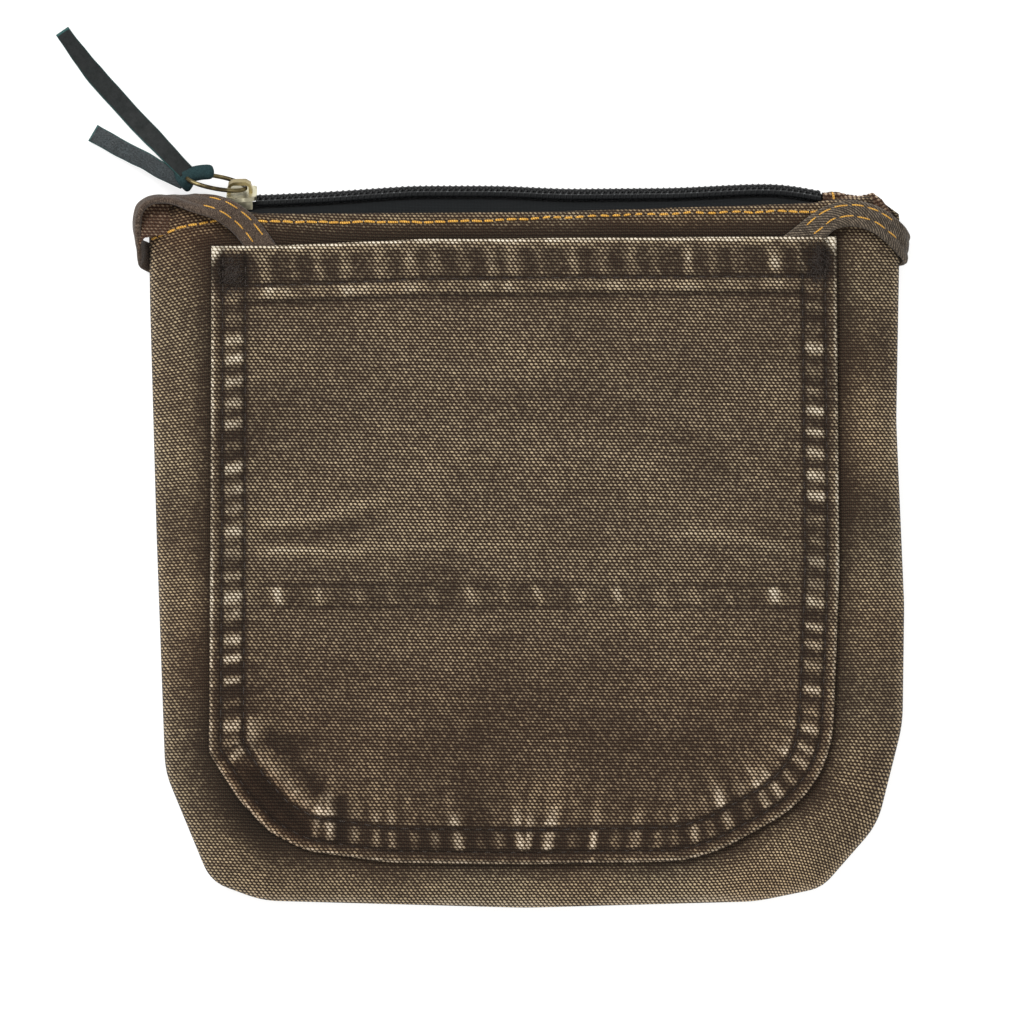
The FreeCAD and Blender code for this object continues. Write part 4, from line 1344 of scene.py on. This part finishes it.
def end_tab(name, node, right):
    """Folded canvas at one end of the zip, its edge a little ragged, with a gold stitch on the right."""
    if right:
        outline = [
            (74.6, 89.2), (77.6, 89.6), (80.5, 88.9), (84.0, 88.4),
            (87.0, 89.3), (89.6, 87.4), (91.5, 84.6),
        ]
    else:
        outline = [
            (-76.8, 88.4), (-80, 88.2), (-84, 88.1), (-88, 87.8),
            (-92, 87.4), (-95.4, 86.8), (-96.6, 85.0), (-96.8, 82.0),
        ]
    line = resampled(outline, 0.4)
    rng = np.random.default_rng(71)
    line[:, 1] += 0.10 * rng.standard_normal(len(line))
    top_level, low_level = 8.8, 2.3
    columns = len(line)
    rows = []
    for t in np.linspace(0, 1, 14):
        depth = (5.5 if right else 9.0) * (1 - t)
        level = top_level - 1.2 + 1.2 * math.cos(t * math.pi / 2)
        rows.append(np.column_stack([line[:, 0], line[:, 1] - depth, np.full(columns, level)]))
    for t in np.linspace(0.1, 1, 6):
        level = top_level - 1.2 - t * (top_level - 1.2 - low_level)
        rows.append(np.column_stack([line[:, 0], line[:, 1] - 0.6 * t**2, np.full(columns, level)]))
    points = np.concatenate(rows)
    count = len(rows)
    cloth = np.stack([points[:, 0], points[:, 1] * 1.1 + points[:, 2], 0 * points[:, 0]], axis=1)
    wear = np.repeat(np.concatenate([np.zeros(11), [0.3, 0.6, 0.7], np.zeros(6) + 0.1]), columns)
    faces = grid_faces(count, columns, flip=right)
    piece(
        name, points, faces, "pouch", TAB_CANVAS, "canvas", [node],
        cloth=cloth, wear=wear, shade=0 * wear - 0.1,
    )
    if right:
        route = [
            (77.4, 86.6, 9.0), (77.3, 87.6, 9.0), (77.2, 88.7, 8.9),
            (77.1, 89.5, 8.2), (77.0, 89.7, 7.2),
        ]
        stitches("end_tab_stitch", route, 2.6, 0.15, 0.6, GOLD, "gold_thread", (), 0.4, 72)


def zip_frame_point(x, back, out):
    """As zip_place, on the slider's straight line."""
    y = CHAIN_Y + back * math.sin(LEAN) + out * math.cos(LEAN)
    z = CHAIN_Z - back * math.cos(LEAN) + out * math.sin(LEAN)
    return np.array([x * math.cos(TILT), y + x * math.sin(TILT), z])


def bevelled(name, node, body, material, width):
    """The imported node's own shape, with its edges rounded."""
    source = bpy.data.objects[node]
    mesh = source.data.copy()
    mesh.materials.clear()
    mesh.materials.append(material)
    obj = bpy.data.objects.new(name, mesh)
    bpy.context.scene.collection.objects.link(obj)
    edge = obj.modifiers.new("bevel", "BEVEL")
    edge.width = width * MM
    edge.segments = 3
    edge.limit_method = "ANGLE"
    edge.angle_limit = math.radians(35)
    for polygon in mesh.polygons:
        polygon.use_smooth = True
    weighted = obj.modifiers.new("normals", "WEIGHTED_NORMAL")
    weighted.keep_sharp = False
    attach(obj, body)
    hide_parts(node)


def wire_loop(name, centre, radius, up, body, material, slot, replaces, around=20):
    """A round wire bent along a closed line of points, with the two ends joined."""
    ahead = unit(np.roll(centre, -1, axis=0) - np.roll(centre, 1, axis=0))
    side = unit(np.cross(ahead, up))
    top = np.cross(side, ahead)
    bend = np.linspace(0, 2 * math.pi, around, endpoint=False)
    across, lift = np.cos(bend)[None] * radius, np.sin(bend)[None] * radius
    faces = grid_faces(len(centre), around, True)
    last = (len(centre) - 1) * around
    faces += [(last + j, last + (j + 1) % around, (j + 1) % around, j) for j in range(around)]
    points = rings_about(centre, side, top, across, lift).reshape(-1, 3)
    piece(name, points, faces, body, material, slot, replaces)


RING_LONG, RING_WIDE, WIRE = 16.0, 9.4, 1.1
RING_LEAN = math.radians(12.0)
PIVOT = (-70.05, 0.0, 3.4)


def ring_point(along, back, out):
    """A place in the ring's own directions: along it from the slider, towards the back, off its face."""
    x = PIVOT[0] - along * math.cos(RING_LEAN) + out * math.sin(RING_LEAN)
    up = PIVOT[2] + along * math.sin(RING_LEAN) + out * math.cos(RING_LEAN)
    return zip_frame_point(x, back, up)


def hardware():
    """The slider's casting and bridge, and the oval wire ring."""
    # the casting wears the paler brass, with painted light
    bevelled("slider_casting", "slider_body", "slider", CASTING_WITH_PAINTED_LIGHT, 0.28)
    bevelled("slider_loop", "slider_bridge", "slider", BRASS, 0.3)
    long, wide = RING_LONG - WIRE, RING_WIDE - WIRE
    turn = np.linspace(0, 2 * math.pi, 120, endpoint=False)
    oval = np.array(
        [ring_point(long / 2 + long / 2 * math.cos(a), wide / 2 * math.sin(a), 0) for a in turn]
    )
    normal = ring_point(0, 0, 1) - ring_point(0, 0, 0)
    wire_loop("ring_wire", oval, WIRE / 2, normal, "ring", BRASS, "antique_brass", ["pull_ring"])


# Leather pull -----------------------------------------------------------------------------------

LEATHER_WIDE = 4.8
LEATHER_THICK = 1.2
LONG_TAIL = [
    (-84.8, 94.3, 9.2),
    (-88.3, 97.9, 8.6),
    (-91.8, 101.4, 6.8),
    (-96.4, 106.4, 3.6),
    (-101.6, 111.9, 1.6),
    (-106.4, 117.2, 1.0),
    (-111.8, 123.6, 0.8),
    (-116.4, 130.3, 0.8),
]
SHORT_TAIL = [
    (-85.4, 92.1, 7.9),
    (-88.6, 93.6, 7.4),
    (-92.6, 95.8, 5.9),
    (-97.6, 98.6, 3.8),
    (-103.2, 101.4, 1.8),
    (-108.6, 104.6, 0.9),
]


def nurbs_line(name, route):
    """The smooth line that a route of control points gives, as points in millimetres."""
    curve = bpy.data.curves.new(name, "CURVE")
    curve.dimensions = "3D"
    curve.resolution_u = 24
    spline = curve.splines.new("NURBS")
    spline.points.add(len(route) - 1)
    for point, at in zip(spline.points, route):
        point.co = (at[0] * MM, at[1] * MM, at[2] * MM, 1.0)
    spline.order_u = 3
    spline.use_endpoint_u = True
    holder = bpy.data.objects.new(name, curve)
    bpy.context.scene.collection.objects.link(holder)
    bpy.context.view_layer.update()
    mesh = bpy.data.meshes.new_from_object(holder.evaluated_get(bpy.context.evaluated_depsgraph_get()))
    line = np.array([v.co[:] for v in mesh.vertices]) / MM
    bpy.data.objects.remove(holder)
    bpy.data.meshes.remove(mesh)
    return line


def leather_strip(name, line, wide_at, material, node, seed, roll_at):
    """A cut strip with square raw edges, its width uneven as hand-cut leather is."""
    line = resampled(line, count=120)
    ahead = unit(np.gradient(line, axis=0))
    run = np.linspace(0, 1, len(line))
    side = unit(np.cross(UP, ahead))
    up = np.cross(ahead, side)
    roll = np.radians(roll_at(run))
    width = side * np.cos(roll)[:, None] + up * np.sin(roll)[:, None]
    face = np.cross(ahead, width)
    across = np.array([-1, -0.96, -0.8, -0.4, 0, 0.4, 0.8, 0.96, 1])
    soft = np.array([0.62, 0.92, 1, 1, 1, 1, 1, 0.92, 0.62])
    section_across = np.concatenate([across, across[::-1]])
    section_up = np.concatenate([soft, -soft[::-1]]) * LEATHER_THICK / 2
    edge = np.concatenate([np.abs(across) ** 8, np.abs(across[::-1]) ** 8])
    half = wide_at(run) / 2 * (1 + 0.02 * ripple(run * 60, 0 * run, seed, 9))
    sway = 0.10 * ripple(run * 60, 0 * run, seed + 1, 16)
    buckle = 0.12 * ripple(run[:, None] * 60, section_across[None] * 2, seed + 2, 9)
    across_line = section_across[None] * half[:, None] + sway[:, None]
    points = rings_about(line, width, face, across_line, section_up[None] + buckle)
    around = len(section_across)
    faces = tube_faces(len(line), around)
    long = np.repeat(run * step_lengths(line).sum(), around)
    widthwise = np.tile(section_across * 2.4, len(line))
    cloth = np.stack([long, widthwise, np.tile(section_up, len(line))], axis=1)
    edges = np.tile(edge, len(line))
    edges[-2 * around :] = 1
    points = points.reshape(-1, 3)
    return piece(name, points, faces, None, material, "leather", [node], cloth=cloth, edge=edges), line


def leather_pull():
    """Both tails, each a leather strip along its own smooth route."""
    long_line = nurbs_line("long_route", LONG_TAIL)
    long_tail, path = leather_strip(
        "leather_long_tail", long_line,
        lambda t: LEATHER_WIDE * (0.86 + 0.14 * rise(t, 0, 0.3) - 0.22 * rise(t, 0.7, 1)),
        SMOOTH_LEATHER, "pull_tail_long", 81, lambda t: 10 * (1 - t),
    )
    short_line = nurbs_line("short_route", SHORT_TAIL)
    short_tail, _ = leather_strip(
        "leather_short_tail", short_line, lambda t: 4.2 + 0.4 * t, GRAIN_LEATHER, "pull_tail_short", 84,
        lambda t: -12 * (1 - t),
    )
    for tail, line in ((long_tail, path), (short_tail, short_line)):
        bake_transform(tail)


def knot():
    """The strip hitched round the ring's far end: a roll along one side, and a band crossing it."""
    points, faces, edge, around = [], [], [], 28

    def roll(line, half, tall, seed, pinch):
        line = smooth_rows(line, 46)
        ahead = unit(np.gradient(line, axis=0))
        side = unit(np.cross(ahead, UP))
        top = np.cross(side, ahead)
        run = np.linspace(0, 1, len(line))
        close = np.sqrt(np.clip(1 - np.abs(2 * run - 1) ** pinch, 0.03, 1))
        turn = np.linspace(0, 2 * math.pi, around, endpoint=False)
        flat_side = np.sign(np.cos(turn)) * np.abs(np.cos(turn)) ** 0.8
        flat_top = np.sign(np.sin(turn)) * np.abs(np.sin(turn)) ** 0.8
        across, lift = (flat_side * half)[None, :, None], (flat_top * tall)[None, :, None]
        ring = line[:, None] + close[:, None, None] * (side[:, None] * across + top[:, None] * lift)
        crease = 0.10 * ripple(ring[..., 0] + ring[..., 1], ring[..., 2] * 1.5, seed, 2.4)
        ring = ring + top[:, None] * crease[..., None] * close[:, None, None]
        start = sum(len(p) for p in points)
        points.append(ring.reshape(-1, 3))
        faces.extend(shifted(tube_faces(len(line), around), start))
        edge.append(np.repeat(0.55 * rise(run, 0.90, 1.0), around))

    roll(
        [(-86.6, 92.6, 8.3), (-84.0, 93.6, 8.4), (-81.2, 94.3, 8.0), (-77.9, 94.5, 7.5)],
        1.9, 1.7, 91, 9,
    )
    roll(
        [
            (-86.6, 94.8, 7.6), (-86.2, 93.5, 9.0), (-85.4, 92.1, 9.1), (-84.4, 91.0, 8.0),
            (-83.9, 90.6, 6.9),
        ],
        1.5, 0.8, 92, 12,
    )
    points, edge = np.concatenate(points), np.concatenate(edge)
    piece(
        "leather_knot", points, faces, "ring", SUEDE, "leather", ["pull_hitch"],
        cloth=points, edge=edge,
    )


look()
studio()
leather_pull()
knot()
front_panel()
back_panel()
lining("lining_front_cloth", lambda x, y: front_height(x, y) - 2.0, "lining_front")
lining("lining_back_cloth", lambda x, y: 1.9 + 0 * x, "lining_back")
pocket()
pocket_rows()
bar_tacks()
front_topstitch()
belt_loop(
    "left_loop_strap", LEFT_LOOP, "left_loop", "left_loop_gold", 101, LOOP_FUZZY,
    ((0.13, 0.42), (0.13, 0.42)),
)
belt_loop(
    "right_loop_strap", RIGHT_LOOP, "right_loop", "right_loop_gold", 111, LOOP_TWILL,
    ((0.22, 0.70), (0.22, 0.74)),
)
zipper()
sewn_tape("tape_sewn_front", "zipper_tape_front_sewn")
sewn_tape("tape_sewn_back", "zipper_tape_back_sewn")
end_tab("end_tab_cloth_left", "zip_end_tab_left", False)
end_tab("end_tab_cloth_right", "zip_end_tab_right", True)
hardware()
